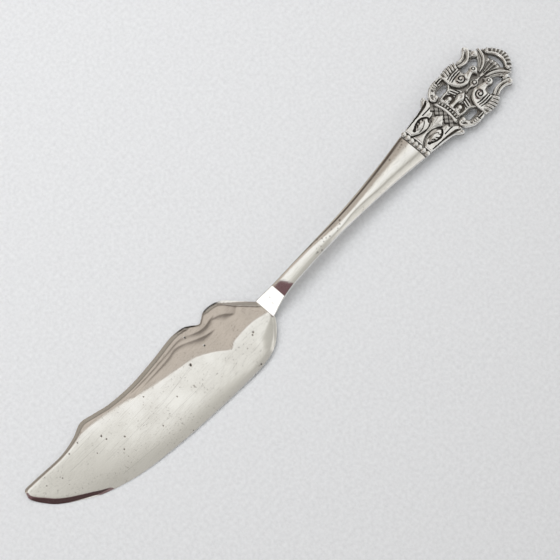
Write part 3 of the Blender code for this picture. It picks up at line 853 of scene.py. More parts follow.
@dataclass
class Stem:
    """The arched shank: a flat ramp up from the blade, a narrow waist and a wide crowned end."""

    height: float = 7.0
    thickness: float = 2.7
    end_thickness: float = 2.1
    ramp_length: float = 4.45
    ramp_rise: float = 3.3
    ramp_edge: float = 0.01
    foot_edge: float = 0.4
    tail_length: float = 6.0
    ramp_stations: int = 24
    stations: int = 300
    ring: int = 48
    # The section: the rounding of its upper edges, and its underside and flanks as shares of its half
    # width and height.
    shoulder_power: int = 5
    edge_round: float = 0.12
    edge_power: int = 60
    side_height: float = 0.5
    flank_width: float = 0.93
    flank_height: float = 0.4
    under_width: float = 0.84
    # The edge's side is dented above the waist and fuller towards the handle's end.
    dent: Stretch = (26.0, 31.0, 33.0, 41.0)
    dent_depth: float = 0.22
    fullness: Change = Change(38.0, 50.0)
    full_crown: float = 0.1
    full_shoulder: float = 0.15
    # Specks of tarnish behind the ramp and by the handle's end: place and radius. They lie on the upper
    # face, which is at least so high above the underside.
    face_height: float = 1.2
    speck_tone: Change = Change(1.2, 0.4, 0.0, 0.45)
    specks: Sequence[Spot] = (
        (17.7, 1.45, 0.3), (18.3, 1.5, 0.2), (19.9, 1.25, 0.25), (17.6, -1.0, 0.25), (18.7, -1.45, 0.3),
        (20.6, -0.3, 0.2), (20.9, 0.5, 0.22), (21.7, -0.1, 0.2), (22.6, -0.5, 0.24), (24.2, 0.4, 0.2),
        (25.4, -0.6, 0.2), (26.6, -0.2, 0.24), (27.3, 0.5, 0.3), (24.9, -0.9, 0.16), (19.2, -0.6, 0.16),
        (52.6, 2.4, 0.3), (53.3, 2.9, 0.3), (51.8, 2.2, 0.2), (47.5, 1.9, 0.3),
    )

    def __post_init__(self) -> None:
        """Draws the lines that the sections follow."""
        foot, end = HEEL_LIFT + HEEL_THICKNESS, STEM_LENGTH
        tail_top, ramp = HANDLE_DROP + self.end_thickness, self.ramp_length
        self.ramp_line = SmoothLine(((-FOOT_LAP, foot + self.foot_edge), (ramp, foot + self.ramp_rise)))
        self.top_line = SmoothLine((
            (ramp, 5.6), (5.1, 5.83), (6.7, 6.32), (8.6, 6.68), (10.8, 6.83), (14.0, 6.94), (18.0, 7.0),
            (22.0, 6.99), (27.0, 6.78), (end * 0.62, self.height * 0.58 + tail_top * 0.42 + 0.1),
            (44.0, 5.75), (end, tail_top),
        ))
        self.under_line = SmoothLine((
            (-FOOT_LAP, foot), (0.0, foot), (ramp, foot + 0.24 * self.ramp_rise),
            (end * 0.18, self.height - self.thickness - 0.2), (end * 0.30, self.height - self.thickness),
            (end * 0.62, (self.height - self.thickness) * 0.66 + HANDLE_DROP * 0.34),
            (end - self.tail_length, HANDLE_DROP + self.tail_length * math.sin(HANDLE_TILT)),
            (end, HANDLE_DROP),
        ))
        self.half_line = SmoothLine((
            (-FOOT_LAP, 2.9), (0.0, 2.9), (ramp, 2.1), (end * 0.18, 1.8), (end * 0.46, 1.8),
            (end * 0.65, 2.26), (end * 0.83, 3.06), (end, 4.1),
        ))
        self.crown_line = SmoothLine((
            (-FOOT_LAP, 0.01), (ramp, 0.03), (12.0, 0.03), (18.0, 0.05), (23.0, 0.11), (36.0, 0.18),
            (end, 0.3),
        ))
        self.shoulder_line = SmoothLine((
            (-FOOT_LAP, 0.02), (ramp, 0.04), (12.0, 0.06), (24.0, 0.15), (44.0, 0.17), (end, 0.1),
        ))
        self.lean_line = SmoothLine((
            (-FOOT_LAP, 0.0), (16.0, 0.0), (22.0, 0.02), (28.0, 0.045), (34.0, 0.03), (44.0, 0.0), (end, 0.0),
        ))

    def section(self, x: float) -> Array:
        """One closed cross-section, counted round from the lower right edge.

        Args:
            x: Its place along the stem.

        Returns:
            Its points.
        """
        place = np.array([x])
        upper_line = self.ramp_line if x < self.ramp_length else self.top_line
        half, low, high, crown, shoulder, lean = (
            line.at(place)[0]
            for line in (
                self.half_line, self.under_line, upper_line, self.crown_line, self.shoulder_line,
                self.lean_line,
            )
        )
        across = np.sin(np.linspace(-0.5, 0.5, self.ring) * math.pi)
        out = np.abs(across)
        upper = high - lean * half * across - crown * across**2 - shoulder * out**self.shoulder_power
        upper -= self.edge_round * out**self.edge_power
        swell = np.maximum(-across, 0.0) ** 2
        turn = np.maximum(-across, 0.0) ** self.shoulder_power
        upper += self.fullness.at(place) * (self.full_crown * swell - self.full_shoulder * turn)
        upper -= self.dent_depth * along_stretch(self.dent, place) * (swell - turn)
        side = low + self.side_height * (upper[0] - low)
        flank = [
            (self.under_width * half, low), (self.flank_width * half, low + self.flank_height * (side - low)),
            (half, side),
        ]
        rows = [(-y, z) for y, z in flank] + [(half * a, z) for a, z in zip(across, upper)] + flank[::-1]
        return np.array([(x, y, z) for y, z in rows])

    def tarnish(self, body: Array) -> Array:
        """How dark each point is: only the specks on its upper face are.

        Args:
            body: The stem's points.

        Returns:
            A value from 0 to 1 for each.
        """
        dark = np.zeros(len(body))
        for along, across, radius in self.specks:
            near = np.hypot(body[:, 0] - along, body[:, 1] - across) / radius
            dark = np.maximum(dark, self.speck_tone.at(near))
        return np.where(body[:, 2] > self.under_line.at(body[:, 0]) + self.face_height, dark, 0.0)

    def build(self, finish: Material) -> Object:
        """Makes the stem from a row of cross-sections.

        Args:
            finish: Its material.

        Returns:
            The piece.
        """
        ramp = np.linspace(-FOOT_LAP, self.ramp_length - self.ramp_edge, self.ramp_stations)
        rest = np.linspace(self.ramp_length + self.ramp_edge, STEM_LENGTH, self.stations)
        rings = [self.section(x) for x in np.concatenate([ramp, rest])]
        count = len(rings[0])
        faces = [tuple(range(count))[::-1], tuple(range(len(rings) * count - count, len(rings) * count))]
        for k in range(len(rings) - 1):
            for i in range(count):
                j = (i + 1) % count
                faces.append((k * count + i, k * count + j, (k + 1) * count + j, (k + 1) * count + i))
        body = np.concatenate(rings)
        mesh = as_mesh("stem", body, faces, self.tarnish(body))
        mesh.flip_normals()
        mesh.transform(from_drawing())
        return finished(mesh, finish, Slot.POLISHED, "stem")


@dataclass
class Blade:
    """The sheet blade, with a humped spine, a notch by the heel and a tongue under the stem."""

    stem: Stem
    length: float = 70.9
    tip_thickness: float = 0.9
    least_thickness: float = 0.15
    lift_length: float = 28.0
    spacing: float = 0.24
    stations: int = 420
    rim_rows: Sequence[float] = (0.06, 0.15, 0.25, 0.35, 0.5, 0.65, 0.8, 0.95, 1.1, 1.3, 1.5, 1.65)
    tongue_length: float = 6.5
    tongue_width: float = 3.6
    tongue_taper: float = 0.07
    tongue_gap: float = 0.02
    tongue_step: float = 0.3
    spine: Path = (
        (-70.9, 11.0), (-70.3, 12.7), (-68.0, 12.85), (-60.0, 12.2), (-57.0, 12.3), (-53.5, 13.0),
        (-49.8, 14.3), (-46.0, 13.4), (-42.0, 12.3), (-35.0, 11.65), (-27.0, 12.0), (-20.0, 12.6),
        (-16.4, 12.0), (-14.6, 10.75), (-13.2, 9.7), (-12.0, 10.15), (-10.2, 11.05), (-7.2, 10.6),
        (-5.0, 9.25), (-2.4, 6.0), (0.0, 2.9),
    )
    edge: Path = (
        (-70.9, 10.3), (-70.0, 8.5), (-67.5, 5.1), (-62.5, 1.15), (-58.0, -1.6), (-50.0, -4.5),
        (-40.0, -6.4), (-28.0, -7.8), (-16.0, -8.65), (-10.5, -8.8), (-6.6, -8.2), (-3.7, -6.7),
        (-1.2, -4.5), (0.0, -2.9),
    )
    # The low ridge from which the face falls to the spine: it shows as the border of the darker band. It
    # stays within a limit past the spine, whose turn round the tip it doesn't follow.
    ridge: Path = (
        (-70.9, 13.5), (-60.0, 13.4), (-53.0, 12.4), (-46.0, 11.4), (-40.0, 10.0), (-33.0, 7.7),
        (-25.0, 5.8), (-20.0, 4.5), (-16.0, 2.0), (-12.8, -0.6), (-11.2, 0.2), (-5.0, 0.2), (0.0, -1.2),
    )
    ridge_limit: float = 1.0
    ridge_softness: Change = Change(-22.0, -45.0, 0.25, 1.15)
    tip_turn: float = -69.5
    # The slopes of the face along the blade: to the spine, to the edge, where a power bends it down late,
    # and to the edge near the tip.
    spine_slope: Change = Change(-20.0, -10.0, slope_of(4.4), 1.15 * slope_of(4.4))
    edge_slope: Change = Change(-54.5, -65.0, 0.1, 0.02)
    edge_power: Change = Change(-25.0, -12.0, 8.0, 11.0)
    tip_slope: Change = Change(-34.0, -61.0, 0.0, 0.034)
    least_span: float = 1.0
    # The bevel along the edge: width, slope and softness.
    edge_bevel: Change = Change(-34.0, -16.0, 0.0, 0.9)
    edge_bevel_slope: float = slope_of(8.0)
    edge_bevel_softness: float = 0.15
    # The bevel along the spine, which starts at a point of its line past the tip's corner. It widens and
    # steepens at the heel, and is nearly gone in the notch.
    bevel_from: int = 6
    bevel_width: Change = Change(-60.0, -50.0, 0.57, 0.95)
    heel_widening: Change = Change(-7.0, -4.0, 0.0, 0.4275)
    bevel_slope: Change = Change(-7.0, -5.0, slope_of(15.0), 2.0 * slope_of(15.0))
    bevel_softness: float = 0.2
    notch: Stretch = (-16.6, -15.0, -11.2, -9.6)
    notch_narrowing: float = 0.8
    # The bevel round the tip, up to a point of the spine's line: where it starts and how it widens, its
    # width and slope by the distance across, and how far in from the edge it lies.
    tip_bevel_to: int = 4
    tip_bevel_from: float = -54.0
    tip_bevel_run: float = 6.0
    tip_bevel_power: float = 0.6
    tip_bevel: Change = Change(17.0, 7.0, 0.0, 1.15)
    tip_bevel_slope: Change = Change(7.0, 10.5, slope_of(20.0), slope_of(13.0))
    tip_bevel_inset: Change = Change(-64.0, -57.0, 0.0, 0.6)
    tip_bevel_softness: float = 0.12
    # Soft folds left by the hammer below the spine and at the heel.
    creases: Sequence[Crease] = (
        Crease(((-38.0, 9.0), (-30.0, 9.25), (-25.0, 9.4), (-22.0, 9.75), (-20.0, 9.4), (-18.0, 8.4),
                (-16.0, 7.3), (-14.0, 6.5), (-11.5, 5.8)),
               (0.0, 0.8, 1.1, 1.2, 1.8, 2.4, 2.5, 1.5, 0.0), 0.1),
        Crease(((-40.0, 10.3), (-32.0, 10.15), (-24.0, 10.5), (-20.0, 10.75), (-18.0, 10.25), (-16.0, 9.2),
                (-14.4, 8.5), (-12.5, 8.25), (-10.8, 8.5), (-9.0, 8.6)),
               (0.0, 0.6, 0.8, 1.2, 1.6, 1.9, 1.8, 1.5, 1.2, 0.0), 0.095),
        Crease(((-10.5, 8.0), (-9.0, 7.8), (-7.6, 6.9), (-6.6, 5.8), (-5.8, 4.6)),
               (0.0, 1.8, 2.2, 1.3, 0.0), 0.1),
        Crease(((0.2, -2.2), (-0.8, -3.1), (-2.6, -4.9), (-4.4, -6.6), (-5.8, -7.6)),
               (0.4, 0.9, 2.2, 3.2, 2.6), 0.12),
    )
    # Small corrosion pits: place and radius. Their depth is a share of the radius, and their tone and the
    # rings of points round them go by the distance from the middle as a share of it.
    pits: Sequence[Spot] = (
        (-22.2, 4.2, 0.3), (-16.4, 5.0, 0.24), (-18.0, 10.0, 0.24), (-6.4, -1.6, 0.2), (-7.0, -2.0, 0.16),
        (-11.0, -8.3, 0.24), (-45.3, 4.1, 0.17), (-48.9, 8.3, 0.2), (-48.6, 6.9, 0.15), (-57.0, 11.0, 0.15),
        (-53.8, 11.4, 0.15), (-62.2, 8.2, 0.13), (-66.0, 9.7, 0.13), (-47.6, 2.1, 0.14), (-37.4, -0.9, 0.13),
        (-35.3, 7.3, 0.12), (-30.0, 1.4, 0.13), (-25.4, 0.2, 0.11), (-52.5, 6.2, 0.12), (-33.5, -7.0, 0.15),
    )
    pit_depth: float = 0.5
    pit_tone: Change = Change(1.15, 0.5)
    pit_rings: Sequence[float] = (0.45, 0.8, 1.15)
    pit_ring_points: int = 10
    # Faint scratches, with rows of points on them and beside them.
    scratches: Sequence[Path] = (
        ((-22.6, 4.0), (-33.0, 2.9), (-43.0, 3.0), (-52.0, 3.3)), ((-24.0, -1.2), (-37.0, -0.5)),
        ((-60.0, 8.0), (-49.0, 7.2)), ((-41.0, -3.2), (-52.0, -1.7)), ((-14.0, -3.6), (-17.5, -4.2)),
        ((-12.5, -0.5), (-12.3, 0.5)), ((-11.9, -0.4), (-11.7, 0.6)), ((-11.3, -0.2), (-11.1, 0.6)),
    )
    scratch_width: float = 0.18
    scratch_tone: float = 0.16
    scratch_step: float = 0.2
    scratch_rows: float = 0.1
    # A painted dark reflection: the spine's rim is black on either side of the notch, by the distance from
    # it.
    painted_reflection_rims: Sequence[Stretch] = ((-20.0, -17.0, -14.6, -13.4), (-11.2, -9.8, -7.0, -5.4))
    painted_reflection_tone: Change = Change(0.55, 0.25, 0.0, 0.95)

    def __post_init__(self) -> None:
        """Draws the two long sides and the ridge."""
        self.spine_line, self.edge_line = SmoothLine(self.spine), SmoothLine(self.edge)
        self.ridge_line = SmoothLine(self.ridge)
        stations = np.linspace(-self.length, 0.0, self.stations)
        self.upper = np.column_stack([stations, self.spine_line.at(stations)])
        self.lower = np.column_stack([stations, self.edge_line.at(stations)])

    def outline(self) -> Array:
        """The plan, from the tip along the cutting edge, round the tongue and back along the spine.

        Returns:
            Its points.
        """
        half, reach = self.tongue_width / 2.0, self.tongue_length
        tongue = [
            (0.0, -half), (reach * 0.5, -half), (reach * 0.85, -half * 0.85), (reach, -half * 0.3),
            (reach, half * 0.3), (reach * 0.85, half * 0.85), (reach * 0.5, half), (0.0, half),
        ]
        tongue = smooth_path(np.array(tongue), self.tongue_step, corners=(3, 4))
        return np.concatenate([self.lower, tongue, self.upper[::-1]])

    def base(self, points: Array) -> Array:
        """The underside: flat on the table, lifted at the heel, and under the stem at the tongue.

        Args:
            points: Places in plan.

        Returns:
            A height for each.
        """
        x = points[:, 0]
        lifted = HEEL_LIFT * np.clip(1.0 + x / self.lift_length, 0.0, None) ** 2
        tongue = self.stem.under_line.at(x) - HEEL_THICKNESS * (1.0 - self.tongue_taper * x)
        return np.where(x > 0.0, tongue, lifted)

    def face_fall(self, points: Array) -> Array:
        """How far the upper face lies below its ridge, on the spine's side and on the edge's.

        Args:
            points: Places in plan.

        Returns:
            A drop for each.
        """
        x, y = points.T
        ridge_end = self.spine_line.at(np.maximum(x, self.tip_turn)) + self.ridge_limit
        ridge = np.minimum(self.ridge_line.at(x), ridge_end)
        span = np.maximum(ridge - self.edge_line.at(x), self.least_span)
        share = np.clip((ridge - y) / span, 0.0, 1.0)
        power = self.edge_power.at(x)
        fall = self.spine_slope.at(x) * soft_ramp(y - ridge, self.ridge_softness.at(x))
        fall += self.edge_slope.at(x) * span * share**power / power
        return fall + self.tip_slope.at(x) * span * share

    def bevel_fall(self, points: Array) -> Array:
        """How far the bevels of the edge, the spine and the tip lower the upper face.

        Args:
            points: Places in plan.

        Returns:
            A drop for each.
        """
        x, y = points.T
        edge_in = self.edge_bevel.at(x) - edge_distance(points, self.lower)
        fall = self.edge_bevel_slope * soft_ramp(edge_in, self.edge_bevel_softness)
        width = self.bevel_width.at(x) + self.heel_widening.at(x)
        width *= 1.0 - self.notch_narrowing * along_stretch(self.notch, x)
        spine_in = width - edge_distance(points, self.upper[self.bevel_from :])
        fall += self.bevel_slope.at(x) * soft_ramp(spine_in, self.bevel_softness)
        tip_line = np.concatenate([self.upper[self.tip_bevel_to :: -1], self.lower])
        from_tip = edge_distance(points, tip_line)
        grown_in = np.clip((self.tip_bevel_from - x) / self.tip_bevel_run, 0.0, 1.0) ** self.tip_bevel_power
        outer = self.tip_bevel_inset.at(x)
        inner = np.maximum(self.tip_bevel.at(y) * grown_in, outer)
        lowered = soft_ramp(inner - from_tip, self.tip_bevel_softness)
        lowered -= soft_ramp(outer - from_tip, self.tip_bevel_softness)
        return fall + self.tip_bevel_slope.at(y) * lowered

    def top(self, points: Array) -> Array:
        """The upper face, with its slopes, bevels, folds and pits, and the tongue's below the stem.

        Args:
            points: Places in plan.

        Returns:
            A height for each.
        """
        x, y = points.T
        thick = self.tip_thickness + (HEEL_THICKNESS - self.tip_thickness) * (1.0 + x / self.length)
        fall = self.face_fall(points) + self.bevel_fall(points)
        for crease in self.creases:
            fall += crease.fall(points)
        for along, across, radius in self.pits:
            near = np.hypot(x - along, y - across) / radius
            fall += self.pit_depth * radius * np.clip(1.0 - near**2, 0.0, None)
        raised = self.base(points) + np.maximum(thick - fall, self.least_thickness)
        return np.where(x > 0.0, self.stem.under_line.at(x) - self.tongue_gap, raised)

    def tarnish(self, points: Array) -> Array:
        """How dark each point is: the pits are black, the scratches faint, and the rim by the notch black as
        a painted dark reflection.

        Args:
            points: Places in plan.

        Returns:
            A value from 0 to 1 for each.
        """
        x, y = points.T
        # Painted dark reflection along the spine's rim by the notch, darkest at the edge.
        dark = self.painted_reflection_tone.at(edge_distance(points, self.upper))
        dark *= np.max([along_stretch(limits, x) for limits in self.painted_reflection_rims], axis=0)
        for path in self.scratches:
            scratch = Stroke(path, (self.scratch_width,) * len(path), self.scratch_tone)
            dark = np.maximum(dark, scratch.relief(points))
        for along, across, radius in self.pits:
            dark = np.maximum(dark, self.pit_tone.at(np.hypot(x - along, y - across) / radius))
        return dark

    def wear_marks(self) -> Array:
        """Points round each pit and along each scratch, so that the faces are fine enough to hold them.

        Returns:
            The points.
        """
        rows = [np.array(self.pits)[:, :2]]
        beside = (0.0, self.scratch_rows)
        for path in self.scratches:
            line = smooth_path(np.array(path), self.scratch_step)
            rows += [line, line + beside, line - beside]
        for share in self.pit_rings:
            for along, across, radius in self.pits:
                rows.append(np.array(ring_path((along, across), radius * share, self.pit_ring_points))[:-1])
        return np.concatenate(rows)

    def build(self, finish: Material) -> Object:
        """Makes the blade.

        Args:
            finish: Its material.

        Returns:
            The piece.
        """
        body, faces = slab(
            [self.outline()], self.spacing, self.top, self.base, self.rim_rows, self.wear_marks()
        )
        mesh = as_mesh("blade", body, faces, self.tarnish(body[:, :2]))
        mesh.transform(from_drawing())
        return finished(mesh, finish, Slot.POLISHED, "blade")


# How use has bent the handle end: its far half is a little twisted and lifted, and its right side is
# pressed in and, by a share of that, along.
FAR_TWIST = Change(17.0, 27.0, 0.0, 0.05)
FAR_LIFT = Change(12.0, 30.0, 0.0, 0.5)
FAR_PRESS = Change(23.0, 29.5, 0.0, 1.3)
PRESSED_SIDE = Change(-3.5, -8.0)
PRESS_ALONG = 0.5
# How dark the handle end is: by the height above its plate, by how far a point lies below what is round
# it, and by the depth of a sunk mark.
SOOT = 0.6
LOW_TONE = Change(0.08, 0.5, 1.0, 0.0)
CREVICE_TONE = Change(0.06, 0.34)
CUT_TONE = Change(0.25, 0.75)


def settled(body: Array) -> Array:
    """Bends points of the handle end as use has bent it.

    Args:
        body: The points.

    Returns:
        Where they lie now.
    """
    along, across, height = body.T
    turn = FAR_TWIST.at(along)
    pressed = FAR_PRESS.at(along) * PRESSED_SIDE.at(across)
    return np.column_stack([
        along + PRESS_ALONG * pressed,
        pressed + across * np.cos(turn) + height * np.sin(turn),
        FAR_LIFT.at(along) + height * np.cos(turn) - across * np.sin(turn),
    ])


def low_tarnish(body: Array, soot: float = SOOT) -> Array:
    """How dark each point of the handle end is by its height above the plate, at most as the soot."""
    return soot * LOW_TONE.at(body[:, 2])


def crevice_tarnish(body: Array, faces: Faces, rounds: int = 10) -> Array:
    """How dark each point of a carved face is by how far it lies below what is round it.

    Args:
        body: The points of the piece: those of its upper face, and then those of its lower one.
        faces: Its faces.
        rounds: How many points away it is compared.

    Returns:
        A value from 0 to 1 for each point.
    """
    count = len(body) // 2
    upper = np.array([face for face in faces if max(face) < count])
    start, end = upper[:, [0, 1, 2]].ravel(), upper[:, [1, 2, 0]].ravel()
    shared = np.maximum(1, np.bincount(start, minlength=count))
    level = body[:count, 2]
    for _ in range(rounds):
        level = np.bincount(start, level[end], count) / shared
    dark = CREVICE_TONE.at(level - body[:count, 2])
    return np.concatenate([dark, np.zeros(count)])


def mirrored(half: Path) -> Path:
    """A closed outline from its half on the left of the middle."""
    return list(half) + [(along, -across) for along, across in reversed(half) if across > 0.0]


def both(*marks: Stroke | Boss) -> list[Stroke | Boss]:
    """The given marks and their mirror images in the middle line.

    Args:
        *marks: Marks on one side.

    Returns:
        Those on both sides.
    """
    made = list(marks)
    for mark in marks:
        if isinstance(mark, Stroke):
            path = [(along, -across) for along, across in mark.path]
            made.append(Stroke(path, mark.widths, mark.height, mark.work))
        else:
            at = (mark.at[0], -mark.at[1])
            made.append(Boss(at, mark.size, mark.height, -mark.turn, mark.work))
    return made


@dataclass
class Carving:
    """One piece of relief on the handle end, drawn in plan.

    Attributes:
        outline: Its edge.
        work: The marks raised from it and sunk into it.
        corners: The numbers of the outline's sharp points.
        ground: The height of its carved ground above the plate.
        crown: How far its middle swells above the ground.
        reach: How far in from its edge the swell takes.
        shoulder: How far in from its edge the rounding of the edge takes.
        rim: The share of its height that is left at the edge.
        floor: The least height above the plate, in its deepest marks.
        sink: How far it goes into the plate.
        spacing: The distance between the points of its faces and of its edge.
        rim_rows: Distances from its edge that get a row of points.
        soot: How dark it is down by the plate.
    """

    outline: Path
    work: Sequence[Stroke | Boss]
    corners: Sequence[int] = ()
    ground: float = 0.35
    crown: float = 0.3
    reach: float = 0.7
    shoulder: float = 0.2
    rim: float = 0.45
    floor: float = 0.1
    sink: float = 0.05
    spacing: float = 0.1
    rim_rows: Sequence[float] = (0.04, 0.1)
    soot: float = SOOT

    def __post_init__(self) -> None:
        """Draws its edge."""
        knots = np.array(self.outline, float)
        self.loop = smooth_path(knots, self.spacing, closed=True, corners=self.corners)

    def top(self, points: Array) -> Array:
        """The height of the carved face above the plate.

        Args:
            points: Places in plan.

        Returns:
            A height for each.
        """
        margin = margin_of(points, [self.loop])
        raised = (self.crown * quarter_round(margin, self.reach)) ** BLEND
        for mark in self.work:
            if mark.work is Work.RAISED:
                raised += mark.relief(points) ** BLEND
        height = np.maximum(self.ground + raised ** (1.0 / BLEND) - self.cut(points), self.floor)
        return height * (self.rim + (1.0 - self.rim) * quarter_round(margin, self.shoulder))

    def base(self, points: Array) -> Array:
        """The level underside, a little way into the plate."""
        return np.full(len(points), -self.sink)

    def cut(self, points: Array) -> Array:
        """How deep the sunk marks are at each point.

        Args:
            points: Places in plan.

        Returns:
            A depth for each.
        """
        depth = np.zeros(len(points))
        for mark in self.work:
            if mark.work is Work.SUNK:
                depth = np.maximum(depth, mark.relief(points))
        return depth

    def build(self, name: str, side: Side = Side.LEFT) -> Mesh:
        """Makes its mesh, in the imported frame.

        Args:
            name: The mesh's name.
            side: The half of the handle end that it lies on; the right is the left one mirrored.

        Returns:
            The mesh.
        """
        body, faces = slab([self.loop], self.spacing, self.top, self.base, self.rim_rows)
        dark = np.maximum(low_tarnish(body, self.soot), crevice_tarnish(body, faces))
        dark = np.maximum(dark, CUT_TONE.at(self.cut(body[:, :2])))
        mesh = as_mesh(name, settled(body * (1.0, side.value, 1.0)), faces, dark)
        if side is Side.RIGHT:
            mesh.flip_normals()
        mesh.transform(from_plan())
        return mesh


def new_tree(name: str, inputs: dict[str, str], output: str) -> NodeTree:
    """Starts a geometry node tree.

    Args:
        name: Its name.
        inputs: The kind of each of its inputs, by name, to which a finish is added.
        output: The name of its output.

    Returns:
        The tree, with no nodes.
    """
    tree = bpy.data.node_groups.new(name, "GeometryNodeTree")
    for label, kind in (inputs | {"Finish": "Material"}).items():
        tree.interface.new_socket(label, in_out="INPUT", socket_type=f"NodeSocket{kind}")
    tree.interface.new_socket(output, in_out="OUTPUT", socket_type="NodeSocketGeometry")
    return tree


def end_tree(tree: NodeTree, copies: NodeSocket, finish: NodeSocket) -> None:
    """Turns a tree's copies to one mesh, gives it the finish and leads it to the tree's output.

    Args:
        tree: The tree.
        copies: The output that gives the copies.
        finish: The output that gives the finish.
    """
    solid = add(tree, "GeometryNodeRealizeInstances", {0: copies})
    dressed = add(tree, "GeometryNodeSetMaterial", {0: solid, "Material": finish})
    add(tree, "NodeGroupOutput", {0: dressed})


def boss_row_tree() -> NodeTree:
    """Builds the node tree that sets rounded bosses along a straight or bowed line.

    Returns:
        The tree, with inputs for the count, the ends, the bow, the turns, the sizes and the finish.
    """
    tree = new_tree("boss_row", {
        "Count": "Int", "First": "Vector", "Last": "Vector", "Bow": "Vector", "First Turn": "Float",
        "Last Turn": "Float", "First Size": "Vector", "Last Size": "Vector",
    }, "Bosses")
    given = add(tree, "NodeGroupInput").node.outputs
    index = add(tree, "GeometryNodeInputIndex")
    last = add(tree, "ShaderNodeMath", {0: given["Count"], 1: 1.0}, operation="SUBTRACT")
    share = add(tree, "ShaderNodeMath", {0: index, 1: last}, operation="DIVIDE")

    def between(first: str, final: str) -> NodeSocket:
        """The value of each boss between two of the tree's inputs.

        Args:
            first: The input for the first boss.
            final: The input for the last one.

        Returns:
            The output with the values.
        """
        gap = add(tree, "ShaderNodeVectorMath", {0: given[final], 1: given[first]}, operation="SUBTRACT")
        part = add(tree, "ShaderNodeVectorMath", {0: gap, "Scale": share}, operation="SCALE")
        return add(tree, "ShaderNodeVectorMath", {0: given[first], 1: part}, operation="ADD")

    # The bow is a parabola that reaches its full height in the row's middle.
    rest = add(tree, "ShaderNodeMath", {0: 1.0, 1: share}, operation="SUBTRACT")
    hump = add(tree, "ShaderNodeMath", {0: share, 1: rest}, operation="MULTIPLY")
    lift = add(tree, "ShaderNodeMath", {0: hump, 1: 4.0}, operation="MULTIPLY")
    bow = add(tree, "ShaderNodeVectorMath", {0: given["Bow"], "Scale": lift}, operation="SCALE")
    line = between("First", "Last")
    place = add(tree, "ShaderNodeVectorMath", {0: line, 1: bow}, operation="ADD")
    swing = add(
        tree, "ShaderNodeMath", {0: given["Last Turn"], 1: given["First Turn"]}, operation="SUBTRACT"
    )
    turn = add(
        tree, "ShaderNodeMath", {0: swing, 1: share, 2: given["First Turn"]}, operation="MULTIPLY_ADD"
    )
    facing = add(tree, "ShaderNodeCombineXYZ", {"Z": turn})
    points = add(tree, "GeometryNodePoints", {"Count": given["Count"], "Position": place})
    boss = add(tree, "GeometryNodeMeshUVSphere", {"Segments": 24, "Rings": 14, "Radius": 0.5})
    row = add(tree, "GeometryNodeInstanceOnPoints", {
        "Points": points, "Instance": boss, "Rotation": facing, "Scale": between("First Size", "Last Size"),
    })
    end_tree(tree, row, given["Finish"])
    return tree


def trellis_tree() -> NodeTree:
    """Builds the node tree that sets pointed pads in staggered rows.

    Returns:
        The tree, with inputs for the rows, the pads in a row, the first place, the pitch, the pad's
        size, how far from the middle a pad may lie, and the finish.
    """
    tree = new_tree("trellis", {
        "Rows": "Int", "Pads": "Int", "First": "Vector", "Pitch": "Vector", "Pad": "Vector", "Reach": "Float",
    }, "Pads")
    given = add(tree, "NodeGroupInput").node.outputs
    index = add(tree, "GeometryNodeInputIndex")
    total = add(tree, "ShaderNodeMath", {0: given["Rows"], 1: given["Pads"]}, operation="MULTIPLY")
    share = add(tree, "ShaderNodeMath", {0: index, 1: given["Pads"]}, operation="DIVIDE")
    row = add(tree, "ShaderNodeMath", {0: share}, operation="FLOOR")
    pad = add(tree, "ShaderNodeMath", {0: index, 1: given["Pads"]}, operation="MODULO")
    # Every other row is moved by half a pad.
    odd = add(tree, "ShaderNodeMath", {0: row, 1: 2.0}, operation="MODULO")
    along = add(tree, "ShaderNodeMath", {0: odd, 1: 0.5, 2: pad}, operation="MULTIPLY_ADD")
    steps = add(tree, "ShaderNodeCombineXYZ", {"X": row, "Y": along})
    place = add(tree, "ShaderNodeVectorMath", {
        0: steps, 1: given["Pitch"], 2: given["First"],
    }, operation="MULTIPLY_ADD")
    points = add(tree, "GeometryNodePoints", {"Count": total, "Position": place})
    across = add(tree, "ShaderNodeSeparateXYZ", {0: place}).node.outputs["Y"]
    far = add(tree, "ShaderNodeMath", {0: across}, operation="ABSOLUTE")
    left_over = add(tree, "ShaderNodeMath", {0: far, 1: given["Reach"]}, operation="GREATER_THAN")
    points = add(tree, "GeometryNodeDeleteGeometry", {0: points, 1: left_over})
    stud = add(tree, "GeometryNodeMeshCone", {
        "Vertices": 4, "Radius Top": 0.34, "Radius Bottom": 0.5, "Depth": 1.0,
    })
    pads = add(tree, "GeometryNodeInstanceOnPoints", {
        "Points": points, "Instance": stud, "Scale": given["Pad"],
    })
    end_tree(tree, pads, given["Finish"])
    return tree


def grown(
    name: str, tree: NodeTree, finish: Material, smooth: bool = True, tone: float = 0.0,
    **inputs: Any,
) -> Mesh:
    """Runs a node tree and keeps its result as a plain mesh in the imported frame.

    Args:
        name: The mesh's name.
        tree: The node tree.
        finish: Its material.
        smooth: Whether its faces are shaded smooth.
        tone: How dark its lightest points are.
        **inputs: The tree's other inputs, with spaces as underscores.

    Returns:
        The mesh.
    """
    seed = bpy.data.objects.new(f"{name}_seed", bpy.data.meshes.new(f"{name}_seed"))
    bpy.context.scene.collection.objects.link(seed)
    modifier = seed.modifiers.new("grow", "NODES")
    modifier.node_group = tree
    values = {key.replace("_", " ").title(): value for key, value in inputs.items()} | {"Finish": finish}
    for item in tree.interface.items_tree:
        if item.in_out == "INPUT":
            modifier[item.identifier] = values[item.name]
    graph = bpy.context.evaluated_depsgraph_get()
    mesh = bpy.data.meshes.new_from_object(seed.evaluated_get(graph))
    seed.modifiers.remove(modifier)
    bpy.data.objects.remove(seed)
    mesh.name = name
    body = np.array([vertex.co[:] for vertex in mesh.vertices])
    set_tarnish_and_painted_reflection(mesh, np.maximum(low_tarnish(body), tone))
    mesh.vertices.foreach_set("co", settled(body).astype(np.float32).ravel())
    if smooth:
        mesh.shade_smooth()
    mesh.transform(from_plan())
    return mesh


